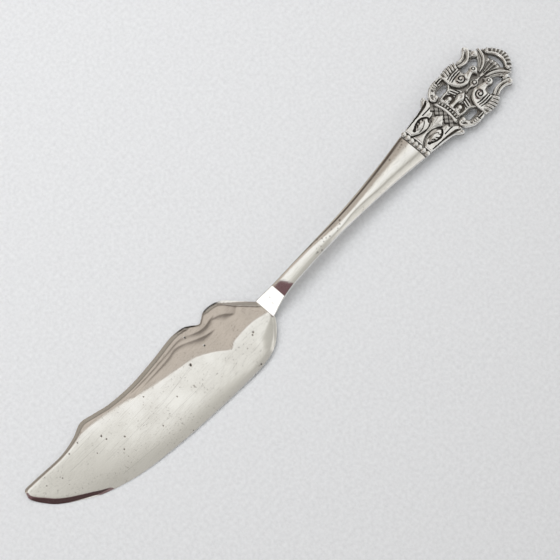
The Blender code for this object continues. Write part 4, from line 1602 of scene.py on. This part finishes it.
@dataclass(frozen=True)
class BossRow:
    """A row of rounded bosses on an ornament.

    Attributes:
        count: How many there are.
        first: The first one's place along and across, and its height.
        last: The last one's.
        size: The length, width and height of each.
        bow: How far the row's middle lies off a straight line, along and across.
        turns: The angles of the first and the last.
        last_length: The last one's length, where it differs.
    """

    count: int
    first: Spot
    last: Spot
    size: Spot
    bow: Place = (0.0, 0.0)
    turns: Range = (0.0, 0.0)
    last_length: float | None = None

    def places(self) -> Path:
        """Places its bosses along a parabola, which the bow lifts in the middle.

        Returns:
            Where they sit, in plan.
        """
        shares = [k / (self.count - 1) for k in range(self.count)]
        return [
            tuple(a + (b - a) * f + 4.0 * f * (1.0 - f) * bow
                  for a, b, bow in zip(self.first, self.last, self.bow))
            for f in shares
        ]

    def build(self, name: str, tree: NodeTree, finish: Material, side: Side = Side.LEFT) -> Mesh:
        """Makes its mesh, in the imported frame.

        Args:
            name: The mesh's name.
            tree: The node tree of a row of bosses.
            finish: Its material.
            side: The half of the handle end that it lies on; the right is the left one mirrored.

        Returns:
            The mesh.
        """
        way = side.value
        (x0, y0, z0), (x1, y1, z1) = self.first, self.last
        last_length = self.size[0] if self.last_length is None else self.last_length
        return grown(
            name, tree, finish, count=self.count, first=(x0, way * y0, z0), last=(x1, way * y1, z1),
            bow=(self.bow[0], way * self.bow[1], 0.0),
            first_turn=way * self.turns[0], last_turn=way * self.turns[1],
            first_size=self.size, last_size=(last_length, *self.size[1:]),
        )


@dataclass
class HandleEnd:
    """The pierced handle end: a ground plate and the ornaments on it."""

    beads: BossRow = BossRow(7, (1.02, -3.8, 0.62), (1.02, 3.8, 0.62), (1.5, 1.3, 0.64))
    pearls: BossRow = BossRow(8, (13.5, -2.8, 0.75), (13.5, 2.8, 0.75), (0.66, 0.52, 0.7), (0.32, 0.0))
    rush_heads: BossRow = BossRow(
        4, (30.85, -1.5, 0.7), (30.85, 1.5, 0.7), (1.0, 0.84, 0.9), (0.4, 0.0), (-0.25, 0.25)
    )
    gadroons: BossRow = BossRow(
        9, (33.2, -3.6, 0.5), (33.2, 3.6, 0.5), (1.6, 0.54, 1.1), (1.75, 0.0), (-0.95, 0.95)
    )
    feathers: BossRow = BossRow(
        5, (20.45, 6.85, 0.5), (24.1, 6.7, 0.5), (2.6, 0.72, 1.1), (0.0, 0.2), (1.3, 1.15), last_length=2.2
    )
    rings: BossRow = BossRow(
        3, (15.3, 6.65, 0.35), (16.65, 6.85, 0.35), (0.6, 1.9, 1.4), turns=(0.3, 0.05)
    )
    # The trellis of pads beside the middle leaf.
    pad_rows: int = 3
    row_pads: int = 5
    first_pad: Spot = (11.1, -3.2, -0.02)
    pad_pitch: Spot = (0.72, 1.6, 0.0)
    pad_size: Spot = (1.62, 1.74, 0.6)
    pad_reach: float = 3.3
    pad_tone: float = 0.56
    # The plate: its plan is stretched to the handle's length, and its edges are rounded to this depth over
    # this reach. Its tone goes by the height, so that the underside stays bright.
    stretch: float = HANDLE_LENGTH / 35.6
    plate_step: float = 0.15
    plate_spacing: float = 0.5
    plate_rows: Sequence[float] = (0.06, 0.18)
    plate_round: float = 0.16
    plate_round_reach: float = 0.18
    plate_tone: Change = Change(-0.3, -0.15, 0.0, 0.75)
    plate_half: Path = (
        (-6.0, 2.3), (0.2, 2.3), (0.2, 3.95), (2.5, 4.15), (5.5, 4.55), (8.5, 4.95), (10.3, 5.65),
        (11.3, 6.3), (12.3, 5.5), (13.5, 6.0), (15.2, 7.0), (17.0, 7.35), (18.9, 7.0), (20.2, 7.5),
        (22.3, 7.8), (24.2, 7.3), (25.0, 6.6), (26.8, 6.7), (27.9, 7.1), (28.7, 8.0), (29.4, 7.9),
        (29.7, 7.0), (30.2, 5.75), (31.0, 5.2), (31.7, 5.4), (32.2, 4.3), (33.1, 4.1), (34.0, 3.3),
        (34.8, 2.3), (35.3, 1.1), (35.4, 0.0),
    )
    lower_piercing: Path = (
        (15.1, 3.9), (16.5, 3.95), (17.8, 3.95), (18.55, 4.7), (18.3, 5.4), (16.8, 5.5), (15.2, 5.3),
    )
    upper_piercing: Path = (
        (24.1, 4.9), (24.2, 3.9), (25.0, 3.35), (26.2, 3.55), (27.1, 3.1), (27.9, 2.65), (28.8, 2.95),
        (29.4, 3.6), (29.1, 4.3), (28.3, 4.85), (27.0, 4.9), (25.5, 4.95),
    )
    arch_piercing_half: Path = (
        (31.95, 0.0), (31.85, 1.1), (31.55, 2.0), (32.1, 2.4), (32.8, 1.8), (33.2, 0.0),
    )

    def ground_plate(self) -> Mesh:
        """The pierced plate, its edges a little rounded.

        Returns:
            Its mesh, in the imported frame.
        """
        outer = mirrored(self.plate_half)
        corners = (0, 1, 2, len(outer) - 3, len(outer) - 2, len(outer) - 1)
        openings = [mirrored(self.arch_piercing_half)]
        for side in Side:
            for opening in (self.lower_piercing, self.upper_piercing):
                openings.append([(along, across * side.value) for along, across in opening])
        stretch, step = (self.stretch, 1.0), self.plate_step
        loops = [smooth_path(np.array(outer) * stretch, step, closed=True, corners=corners)]
        loops += [smooth_path(np.array(opening) * stretch, step, closed=True) for opening in openings]

        def rounding(points: Array) -> Array:
            """How far the edges are rounded off at each point."""
            return self.plate_round * (1.0 - quarter_round(margin_of(points, loops), self.plate_round_reach))

        body, faces = slab(
            loops, self.plate_spacing, lambda p: -rounding(p), lambda p: rounding(p) - PLATE_THICKNESS,
            self.plate_rows,
        )
        mesh = as_mesh("ground_plate", settled(body), faces, self.plate_tone.at(body[:, 2]))
        mesh.transform(from_plan())
        return mesh

    def collar(self) -> Carving:
        """The band under the beads.

        Returns:
            Its carving.
        """
        return Carving(
            outline=((0.3, -4.1), (1.75, -4.2), (1.75, 4.2), (0.3, 4.1)), work=(), corners=(0, 1, 2, 3),
            ground=0.2, crown=0.05, reach=0.3, soot=0.8,
        )

    def center_leaf(self) -> Carving:
        """The middle acanthus leaf, narrow at its waist and lobed at its tip.

        Returns:
            The carving.
        """
        half = (
            (1.8, 1.68), (2.6, 1.2), (3.3, 0.85), (4.2, 0.52), (5.2, 0.36), (6.2, 0.4), (7.2, 0.65),
            (8.2, 1.1), (8.9, 1.6), (9.4, 1.75), (9.75, 1.4), (10.2, 1.25), (10.7, 0.8), (11.75, 0.0),
        )
        veins = both(
            groove(((5.4, 0.12), (7.2, 0.3), (9.0, 0.85)), (0.16, 0.24, 0.2), 0.22),
            groove(((8.3, 0.2), (9.4, 0.45), (10.2, 0.6)), (0.14, 0.2, 0.14), 0.16),
        )
        outline = mirrored(half)
        return Carving(outline, veins, (0, 13, len(outline) - 1), ground=0.58, crown=0.6, reach=0.8)

    def side_leaf(self) -> Carving:
        """An outer acanthus leaf: a tongue hooked about by a channel, and a flaring outer blade.

        Returns:
            The carving.
        """
        outline = (
            (1.8, 2.08), (2.7, 1.5), (3.4, 1.12), (4.2, 0.83), (5.2, 0.62), (6.2, 0.52), (7.1, 0.72),
            (7.75, 1.06), (8.3, 1.7), (8.9, 1.9), (9.6, 1.95), (10.3, 2.2), (10.65, 2.6), (10.3, 2.95),
            (10.75, 3.3), (11.4, 3.85), (11.95, 4.5), (12.15, 5.2), (12.0, 5.75), (12.05, 6.2),
            (11.95, 6.75), (11.4, 7.0), (10.75, 6.6), (9.6, 5.6), (8.0, 5.15), (5.0, 4.75), (1.8, 4.28),
        )
        hook = ((3.45, 2.42), (4.2, 2.9), (5.2, 3.3), (6.3, 3.42), (7.3, 3.2), (8.0, 2.7), (8.3, 2.2),
                (7.95, 1.75), (7.6, 1.42))
        work = (
            groove(hook, (0.6, 0.45, 0.45, 0.5, 0.5, 0.5, 0.55, 0.45, 0.3), 0.9),
            hollow((3.4, 2.42), (0.9, 0.85), 0.9),
            *(groove(((along, across), (along + 0.6, across + 0.55)), (0.2, 0.38), 0.7)
              for along, across in ((4.4, 2.25), (5.5, 2.65), (6.7, 2.55))),
            groove(((4.0, 1.3), (5.2, 1.36), (6.2, 1.75), (7.0, 2.3)),
                   (0.2, 0.26, 0.26, 0.14), 0.4),
            groove(((7.9, 3.65), (9.4, 3.62), (11.0, 3.72)), (0.2, 0.3, 0.26), 0.75),
            groove(((2.8, 4.08), (5.5, 4.3), (7.5, 4.5), (9.2, 4.78), (10.7, 5.15), (11.4, 5.6)),
                   (0.2, 0.3, 0.45, 0.6, 0.62, 0.3), 0.8),
            groove(((8.6, 2.85), (9.5, 2.65), (10.3, 2.6)), (0.2, 0.24, 0.12), 0.2),
            Boss((5.9, 2.15), (4.6, 1.9), 0.85, -0.06),
            Boss((11.4, 6.45), (1.25, 1.0), 0.8),
            Boss((11.75, 5.4), (0.8, 0.9), 0.75),
        )
        return Carving(outline, work, (0, 12, 26), ground=0.45, crown=0.55, reach=0.55)

    def coronet(self) -> Carving:
        """The coronet: a band, a rim, a spear between two knobs, and a flame at each side.

        Returns:
            The carving.
        """
        half = (
            (12.65, 0.0), (12.5, 1.6), (12.05, 3.2), (12.4, 3.55), (13.2, 3.35), (14.2, 3.35), (15.0, 3.62),
            (16.5, 3.65), (17.5, 3.8), (18.3, 4.4), (18.95, 4.75), (18.75, 4.0), (18.5, 3.3), (19.2, 2.4),
            (19.75, 1.5), (19.9, 0.8), (19.8, 0.3), (20.05, 0.0),
        )
        channel = (
            (14.95, 0.8), (15.8, 0.74), (16.6, 0.95), (16.98, 1.68), (16.6, 2.4), (15.8, 2.62), (14.95, 2.58),
        )
        gaps = [
            groove(((17.15 + 0.8 * k, 3.1 - 0.2 * k), (17.7 + 0.8 * k, 1.5 - 0.17 * k)),
                   (0.34, 0.4), 0.85)
            for k in range(3)
        ]
        work = both(
            groove(channel, (0.6, 0.7, 0.75, 0.8, 0.75, 0.7, 0.6), 1.2),
            groove(((17.2, 0.95), (18.2, 1.22), (18.9, 0.95), (19.75, 0.3)),
                   (0.2, 0.3, 0.3, 0.2), 0.6),
            Stroke(((14.6, 1.68), (15.6, 1.68)), (0.8, 0.7), 0.7),
            Boss((16.0, 1.68), (1.35, 1.35), 0.6),
            Stroke(((14.5, 3.1), (15.6, 3.3), (16.8, 3.28), (17.6, 3.5), (18.3, 4.05), (18.8, 4.6)),
                   (0.5, 0.6, 0.62, 0.75, 0.7, 0.25), 0.7),
            *gaps,
        )
        work += [
            Stroke(((12.3, -3.2), (12.78, -1.6), (12.95, 0.0), (12.78, 1.6), (12.3, 3.2)),
                   (0.72, 0.82, 0.86, 0.82, 0.72), 0.55),
            groove(((13.5, -2.95), (13.82, 0.0), (13.5, 2.95)), (0.85, 0.9, 0.85), 0.85),
            Stroke(((14.4, -3.05), (14.62, -1.5), (14.7, 0.0), (14.62, 1.5), (14.4, 3.05)),
                   (0.7, 0.75, 0.78, 0.75, 0.7), 0.6),
            Stroke([(along, 0.0) for along in (14.7, 15.6, 16.6, 17.6, 18.25, 18.9, 19.7)],
                   (1.2, 0.95, 1.1, 1.6, 1.95, 1.3, 0.25), 0.7),
            hollow((18.1, 0.0), (1.3, 0.75), 0.2),
        ]
        return Carving(mirrored(half), work, (0, 2, 10, 17), ground=0.6, crown=0.1, reach=0.3)

    def roundel(self) -> Carving:
        """The ringed boss between the birds, on a stalk with a bead at its foot.

        Returns:
            The carving.
        """
        half = (
            (20.2, 0.0), (20.45, 0.36), (20.9, 0.42), (21.35, 0.26), (22.0, 0.3), (22.6, 0.6), (23.2, 0.98),
            (23.8, 1.08), (24.4, 0.92), (24.9, 0.5), (25.6, 0.3), (26.1, 0.0),
        )
        work = (
            Boss((20.78, 0.0), (0.85, 0.8), 0.85),
            Stroke(((21.3, 0.0), (22.6, 0.0)), (0.4, 0.7), 0.6),
            Boss((23.75, 0.0), (2.3, 2.1), 0.7),
            even_groove(ring_path((23.75, 0.0), 0.52), 0.3, 0.6),
            Stroke(((24.8, 0.0), (25.9, 0.0)), (0.6, 0.35), 0.5),
        )
        return Carving(mirrored(half), work, ground=0.3, crown=0.3, reach=0.35)

    def bird(self) -> Carving:
        """A bird facing the middle: a curved back, a body with a volute, a head, and a lined wing.

        Returns:
            The carving.
        """
        outline = (
            (19.05, 7.6), (18.95, 6.2), (18.9, 5.1), (19.0, 3.9), (19.6, 2.55), (20.6, 1.45), (22.2, 0.9),
            (23.4, 1.15), (24.4, 1.6), (25.3, 1.75), (25.7, 1.35), (25.95, 0.85), (26.6, 1.25), (27.25, 1.8),
            (27.4, 2.6), (26.95, 3.45), (26.05, 3.65), (25.2, 3.35), (24.4, 3.3), (23.9, 3.85), (23.85, 4.7),
            (24.1, 5.6), (24.5, 6.3), (24.9, 7.1), (24.3, 7.7), (22.9, 8.05), (21.3, 8.05), (20.1, 7.85),
        )
        lines = [
            groove(((19.85, low), (21.0, low + 0.27), (22.4, low + 0.35), (23.7, low + 0.32)),
                   (0.18, 0.34, 0.34, 0.18), 0.8)
            for low in (4.12, 4.76, 5.4)
        ]
        work = (
            Stroke(((19.5, 7.5), (19.4, 6.2), (19.35, 5.1), (19.5, 3.95), (20.05, 2.8), (21.0, 1.85),
                    (22.3, 1.4), (23.4, 1.7), (24.3, 2.1), (25.2, 2.35)),
                   (0.7, 0.8, 0.85, 0.85, 0.9, 0.9, 0.95, 1.05, 1.15, 1.1), 0.75),
            Boss((22.3, 2.95), (3.7, 3.1), 0.8),
            Stroke(((23.4, 2.4), (24.4, 2.42), (25.6, 2.5)), (2.3, 2.0, 1.9), 1.05),
            even_groove(volute_path((22.15, 3.05), (1.2, 0.3), (160.0, 640.0)), 0.3, 0.75),
            Boss((26.2, 2.46), (2.6, 2.5), 1.15),
            even_groove(ring_path((26.2, 2.46), 0.4), 0.22, 0.6),
            Stroke(((26.15, 2.0), (26.1, 1.4), (25.98, 0.95)), (0.9, 0.6, 0.25), 0.7),
            hollow((22.2, 7.1), (6.2, 2.6), 0.75),
            *lines,
        )
        return Carving(outline, work, (11,), ground=0.35, crown=0.5, reach=0.4)

    def side_scroll(self) -> Carving:
        """A C-scroll with a curled bulb, a hollow in its bend and a reeded tail.

        Returns:
            The carving.
        """
        outline = (
            (12.45, 4.5), (12.4, 5.2), (12.8, 6.0), (13.6, 6.75), (14.6, 7.35), (15.8, 7.7), (17.2, 7.75),
            (18.6, 7.6), (19.0, 7.1), (19.0, 6.3), (17.8, 5.95), (16.4, 5.85), (15.3, 5.65), (14.85, 5.1),
            (14.85, 4.4), (14.4, 3.8), (13.5, 3.55), (12.8, 3.9),
        )
        work = (
            Stroke(((13.5, 3.95), (12.9, 4.35), (12.8, 5.0), (13.15, 5.75), (13.9, 6.45), (14.8, 7.0),
                    (15.9, 7.3), (17.2, 7.38), (18.7, 7.25)),
                   (0.6, 0.74, 0.82, 0.84, 0.84, 0.82, 0.74, 0.66, 0.5), 0.68),
            Boss((14.0, 4.45), (1.7, 1.5), 1.1),
            hollow((13.75, 5.4), (1.15, 0.7), 0.6, 0.5),
            *(groove(((along, 6.05), (along + 0.12, 7.45)), (0.2, 0.22), 0.75)
              for along in (14.95, 15.65, 16.35, 17.05)),
            groove(((17.0, 6.35), (18.0, 6.35), (18.9, 6.4)), (0.2, 0.24, 0.2), 0.6),
            Stroke(((17.0, 6.6), (18.0, 6.65), (18.9, 6.65)), (0.42, 0.45, 0.4), 0.7),
            groove(((17.0, 6.98), (18.0, 7.02), (18.9, 6.95)), (0.2, 0.26, 0.2), 0.5),
        )
        return Carving(outline, work, (8, 9), ground=0.25, crown=0.15, reach=0.3)

    def shoulder_scroll(self) -> Carving:
        """An S-scroll of two reeds that flares to a knob, with a large bead in its bend.

        Returns:
            The carving.
        """
        outline = (
            (24.75, 6.6), (25.2, 7.05), (26.0, 6.98), (26.9, 7.1), (27.75, 7.5), (28.4, 8.1), (29.1, 8.5),
            (29.75, 8.2), (30.3, 7.5), (30.35, 6.6), (30.8, 6.0), (31.0, 5.2), (30.6, 4.35), (29.8, 4.15),
            (29.0, 4.6), (28.75, 5.25), (27.8, 4.95), (26.6, 4.72), (25.4, 4.85), (24.4, 5.35), (24.5, 6.1),
        )
        work = (
            Stroke(((24.9, 6.85), (25.8, 6.6), (26.8, 6.68), (27.8, 7.1), (28.6, 7.7), (29.15, 8.1)),
                   (0.5, 0.66, 0.74, 0.78, 0.82, 0.9), 0.68),
            Stroke(((24.5, 5.65), (25.6, 5.28), (26.6, 5.18), (27.7, 5.5), (28.7, 6.15), (29.7, 7.1)),
                   (0.6, 0.78, 0.84, 0.9, 0.95, 1.1), 0.7),
            groove(((24.8, 6.3), (26.0, 5.98), (27.3, 6.12), (28.0, 6.5), (28.6, 6.95)),
                   (0.2, 0.3, 0.34, 0.3, 0.16), 0.7),
            Boss((29.95, 5.2), (2.1, 2.0), 1.0),
            Boss((29.3, 7.85), (1.7, 1.5), 0.8),
            hollow((30.0, 6.5), (0.6, 0.9), 0.5),
        )
        return Carving(outline, work, ground=0.3, crown=0.2, reach=0.3)

    def plume_leaf(self) -> Carving:
        """A long curved leaf of the plume: a bright rib and a dark face with a vein.

        Returns:
            The carving.
        """
        outline = (
            (26.7, 0.68), (28.3, 0.92), (29.5, 1.4), (30.5, 2.1), (31.3, 3.0), (31.85, 3.95), (32.1, 4.9),
            (32.1, 5.6), (31.7, 5.85), (31.25, 5.45), (30.6, 4.9), (29.95, 4.25), (29.4, 4.05), (29.2, 3.5),
            (28.6, 2.95), (27.8, 2.4), (27.15, 1.6),
        )
        work = (
            Stroke(((26.95, 0.95), (28.3, 1.28), (29.4, 1.78), (30.4, 2.52), (31.1, 3.4), (31.55, 4.35),
                    (31.75, 5.35)),
                   (0.42, 0.66, 0.76, 0.8, 0.78, 0.7, 0.5), 0.75),
            Stroke(((27.6, 1.62), (28.8, 2.25), (29.9, 3.1), (30.9, 4.3)), (0.2, 0.3, 0.3, 0.2), 0.4),
            Stroke(((27.3, 1.85), (28.4, 2.68), (29.4, 3.4), (30.4, 4.4), (31.3, 5.3)),
                   (0.25, 0.34, 0.36, 0.36, 0.3), 0.5),
            Boss((29.62, 3.72), (0.7, 0.66), 0.75),
        )
        return Carving(outline, work, (0,), ground=0.2, crown=0.05, reach=0.3)

    def bulrush_spray(self) -> Carving:
        """The stems of the rush spray, fanned from one foot.

        Returns:
            The carving.
        """
        half = (
            (25.5, 0.28), (26.6, 0.34), (28.3, 0.68), (29.5, 1.15), (30.4, 1.65), (31.0, 1.85), (31.4, 1.5),
            (31.3, 1.05), (31.65, 0.6), (31.5, 0.0),
        )
        work = [
            Stroke(((25.8, 0.05 * across), (28.4, 0.5 * across), (along, across)), (0.2, 0.3, 0.34), 0.75)
            for along, across in self.rush_heads.places()
        ]
        return Carving(mirrored(half), work, ground=0.12, crown=0.05, reach=0.3, soot=0.9)

    def crest_arch(self) -> Carving:
        """The crowning arch: an inner reed, and a curled bead at each end.

        Returns:
            The carving.
        """
        half = (
            (33.3, 0.0), (33.1, 1.2), (32.7, 2.0), (32.15, 2.65), (32.0, 3.4), (32.1, 4.1), (32.4, 4.75),
            (32.85, 4.7), (33.1, 4.35), (33.6, 4.1), (34.3, 3.4), (35.1, 2.3), (35.7, 1.1), (35.95, 0.0),
        )
        work = both(
            Boss((32.72, 3.4), (1.25, 1.2), 0.85),
            hollow((33.5, 3.1), (0.75, 0.6), 0.6),
            Boss((32.5, 4.4), (0.7, 0.75), 0.6),
        )
        work.append(
            Stroke(((32.6, -2.85), (33.2, -2.15), (33.68, -1.15), (33.85, 0.0), (33.68, 1.15), (33.2, 2.15),
                    (32.6, 2.85)),
                   (0.7, 0.86, 0.92, 0.94, 0.92, 0.86, 0.7), 0.8)
        )
        return Carving(mirrored(half), work, ground=0.12, crown=0.05, reach=0.3, soot=1.0)

    def build(self, finish: Material) -> list[Object]:
        """Makes the plate, each ornament on it, and the rows of bosses on those.

        Args:
            finish: The material of all of them.

        Returns:
            The pieces.
        """
        pieces = [(self.ground_plate(), "ground_plate")]
        for name, carving in (
            ("bead_collar", self.collar()), ("center_acanthus_leaf", self.center_leaf()),
            ("coronet", self.coronet()), ("roundel", self.roundel()), ("bulrush_spray", self.bulrush_spray()),
            ("crest_arch", self.crest_arch()),
        ):
            pieces.append((carving.build(name), name))
        for kind, carving in (
            ("acanthus_leaf", self.side_leaf()), ("bird", self.bird()), ("side_scroll", self.side_scroll()),
            ("shoulder_scroll", self.shoulder_scroll()), ("plume_leaf", self.plume_leaf()),
        ):
            for side in Side:
                name = f"{side.name.lower()}_{kind}"
                pieces.append((carving.build(name, side), name))
        tree = boss_row_tree()
        for name, row, node in (
            ("collar_beads", self.beads, "bead_collar"), ("coronet_pearls", self.pearls, "coronet"),
            ("rush_heads", self.rush_heads, "bulrush_spray"), ("arch_gadroons", self.gadroons, "crest_arch"),
        ):
            pieces.append((row.build(name, tree, finish), node))
        pads = grown(
            "trellis_pads", trellis_tree(), finish, smooth=False, tone=self.pad_tone, rows=self.pad_rows,
            pads=self.row_pads, first=self.first_pad, pitch=self.pad_pitch, pad=self.pad_size,
            reach=self.pad_reach,
        )
        pieces.append((pads, "coronet"))
        for side in Side:
            for kind, row, node in (
                ("wing_feathers", self.feathers, "bird"), ("binding_rings", self.rings, "side_scroll"),
            ):
                word = side.name.lower()
                pieces.append((row.build(f"{word}_{kind}", tree, finish, side), f"{word}_{node}"))
        return [finished(mesh, finish, Slot.OXIDISED, node) for mesh, node in pieces]


@dataclass(frozen=True)
class Sight:
    """A single thing in the room that the silver mirrors.

    Attributes:
        way: The way to its middle.
        near: The cosine of the angle from there up to which it shows in full.
        far: The cosine of the angle at which it has faded.
        tone: Its colour.
        level: How bright that colour is.
    """

    way: Spot
    near: float
    far: float
    tone: str
    level: float = 1.0


@dataclass
class Studio:
    """The paper that the knife lies on, the room that its silver mirrors, and the camera."""

    elevation: float = math.radians(72.0)
    azimuth: float = math.radians(-48.47)
    distance: float = 481.45
    target: Place = (8.113, 2.641)
    field: float = math.radians(16.0)
    sensor_width: float = 36.0
    nearest_seen: float = 0.01
    floor_size: float = 12.0
    floor_gap: float = 0.00005
    lamp_place: Spot = (-0.08, 0.26, 0.5)
    lamp_size: Place = (0.6, 0.6)
    lamp_aim: Spot = (0.0, 0.2, 0.0)
    lamp_power: float = 0.62
    lamp_spread: float = math.radians(68.0)
    # What the silver mirrors, by how far the mirrored way points to the spine's side: over the blade and
    # over the handle. Each has a white ceiling, tan walls with a dark rail, and grey towards the edge. The
    # handle's takes over from the blade's where the way points so far along the knife.
    handle_ahead: Range = (0.27, 0.36)
    over_blade: Sequence[tuple[float, str]] = (
        (-1.0, "#b8b8b6"), (-0.25, "#bcbab6"), (-0.05, "#c0beb8"), (0.06, "#c1bfb9"), (0.12, "#c5c3bd"),
        (0.165, "#d8d6d0"), (0.2, "#fafaf6"), (0.235, "#ffffff"), (0.285, "#fffdf8"), (0.318, "#ab9f96"),
        (0.345, "#c4bab1"), (0.375, "#d3c9bf"), (0.44, "#c1b7ae"), (0.5, "#79716a"), (0.55, "#79716a"),
        (0.62, "#a19b93"), (0.86, "#aaa298"), (0.92, "#6a625b"), (0.96, "#1f1b19"),
    )
    over_handle: Sequence[tuple[float, str]] = (
        (-1.0, "#f0f0ee"), (-0.4, "#f2f0ec"), (-0.12, "#e2e0da"), (0.0, "#cfcdc7"), (0.05, "#a9a6a0"),
        (0.115, "#ecebe6"), (0.18, "#ffffff"), (0.262, "#fffdf8"), (0.305, "#b6ada4"), (0.46, "#bcb3aa"),
        (0.51, "#5d534d"), (0.66, "#5d534d"), (0.74, "#cfc7bd"), (0.9, "#c8c0b6"), (0.97, "#5a524c"),
    )
    # The plain backdrop past the paper, for the camera alone.
    backdrop: str = "#d4d5d4"
    sights: Sequence[Sight] = (
        Sight((-0.4, -0.03, 0.915), 0.951, 0.943, "#765c60"),
        Sight((-0.33, -0.33, 0.885), 0.972, 0.962, "#4c3a3b"),
        Sight((-0.76, 0.2, 0.62), 0.9744, 0.9563, "#ffffff", 1.35),
        Sight((0.6, 0.58, 0.55), 0.9925, 0.983, "#d2cdc8"),
        Sight((0.98, 0.1, 0.17), 0.81, 0.69, "#f4f2ee"),
        Sight((0.66, 0.71, 0.26), 0.985, 0.965, "#a39d96"),
    )

    def floor(self) -> None:
        """Lays the paper."""
        half = self.floor_size / 2.0
        mesh = bpy.data.meshes.new("paper")
        corners = [(-half, -half), (half, -half), (half, half), (-half, half)]
        mesh.from_pydata([(x, y, -self.floor_gap) for x, y in corners], [], [(0, 1, 2, 3)])
        mesh.materials.append(FeltPaper().material())
        paper = bpy.data.objects.new("paper", mesh)
        bpy.context.scene.collection.objects.link(paper)

    def room(self) -> None:
        """Sets up what the silver mirrors, and a plain backdrop that only the camera sees."""
        world = bpy.data.worlds.new("room")
        bpy.context.scene.world = world
        world.use_nodes = True
        tree = world.node_tree
        way = add(tree, "ShaderNodeTexCoord").node.outputs["Generated"]
        split = add(tree, "ShaderNodeSeparateXYZ", {0: way}).node.outputs
        height = add(tree, "ShaderNodeMapRange", {"Value": split["Y"], "From Min": -1.0, "From Max": 1.0})
        walls = []
        for stops in (self.over_blade, self.over_handle):
            ramp = add(tree, "ShaderNodeValToRGB", {0: height})
            elements = ramp.node.color_ramp.elements
            while len(elements) < len(stops):
                elements.new(0.5)
            for element, (place, tone) in zip(elements, stops):
                element.position = (place + 1.0) / 2.0
                element.color = linear(tone)
            walls.append(ramp)
        start, end = self.handle_ahead
        ahead = add(tree, "ShaderNodeMapRange", {
            "Value": split["X"], "From Min": start, "From Max": end,
        }, interpolation_type="SMOOTHSTEP")
        layers = [(ahead, walls[1])]
        for sight in self.sights:
            facing = add(tree, "ShaderNodeVectorMath", {0: way, 1: sight.way}, operation="DOT_PRODUCT")
            patch = add(tree, "ShaderNodeMapRange", {
                "Value": facing, "From Min": sight.far, "From Max": sight.near,
            }, interpolation_type="SMOOTHSTEP")
            layers.append((patch, tuple(sight.level * part for part in linear(sight.tone))))
        seen = add(tree, "ShaderNodeLightPath").node.outputs["Is Camera Ray"]
        layers.append((seen, linear(self.backdrop)))
        colour = walls[0]
        for share, over in layers:
            mixed = {"Factor": share, "A": colour, "B": over}
            colour = add(tree, "ShaderNodeMix", mixed, data_type="RGBA")
        wire(tree, tree.nodes["Background"], {"Color": colour, "Strength": 1.0})

    def lamp(self) -> None:
        """Hangs a soft lamp on the spine's side, which the silver doesn't mirror."""
        light = bpy.data.lights.new("soft_lamp", "AREA")
        light.shape = "RECTANGLE"
        light.size, light.size_y = self.lamp_size
        light.energy = self.lamp_power
        light.spread = self.lamp_spread
        lamp = bpy.data.objects.new("soft_lamp", light)
        lamp.location = self.lamp_place
        along = Vector(self.lamp_aim) - Vector(self.lamp_place)
        lamp.rotation_euler = along.to_track_quat("-Z", "Y").to_euler()
        lamp.visible_glossy = False
        bpy.context.scene.collection.objects.link(lamp)

    def camera(self) -> None:
        """Sets the camera at the photograph's angle and distance."""
        aim = from_drawing() @ Vector((*self.target, 0.0))
        flat = math.cos(self.elevation)
        back = Vector((
            math.sin(self.azimuth) * flat, -math.cos(self.azimuth) * flat, math.sin(self.elevation),
        ))
        data = bpy.data.cameras.new("camera")
        data.sensor_width = self.sensor_width
        data.lens = self.sensor_width / 2.0 / math.tan(self.field / 2.0)
        data.clip_start = self.nearest_seen
        camera = bpy.data.objects.new("camera", data)
        camera.location = aim + back * self.distance * MM
        camera.rotation_euler = (-back).to_track_quat("-Z", "Y").to_euler()
        bpy.context.scene.collection.objects.link(camera)
        bpy.context.scene.camera = camera

    def build(self) -> None:
        """Sets up all of it."""
        self.floor()
        self.room()
        self.lamp()
        self.camera()
        bpy.context.scene.view_settings.view_transform = "Standard"


def main() -> None:
    """Builds the knife and its studio."""
    logging.basicConfig(level=logging.INFO, format="%(name)s: %(message)s")
    stem = Stem()
    Blade(stem).build(WornSilver().material())
    stem.build(WornSilver("burnished_silver", roughness=0.09).material())
    HandleEnd().build(OxidisedSilver().material())
    Studio().build()


if __name__ == "__main__":
    main()
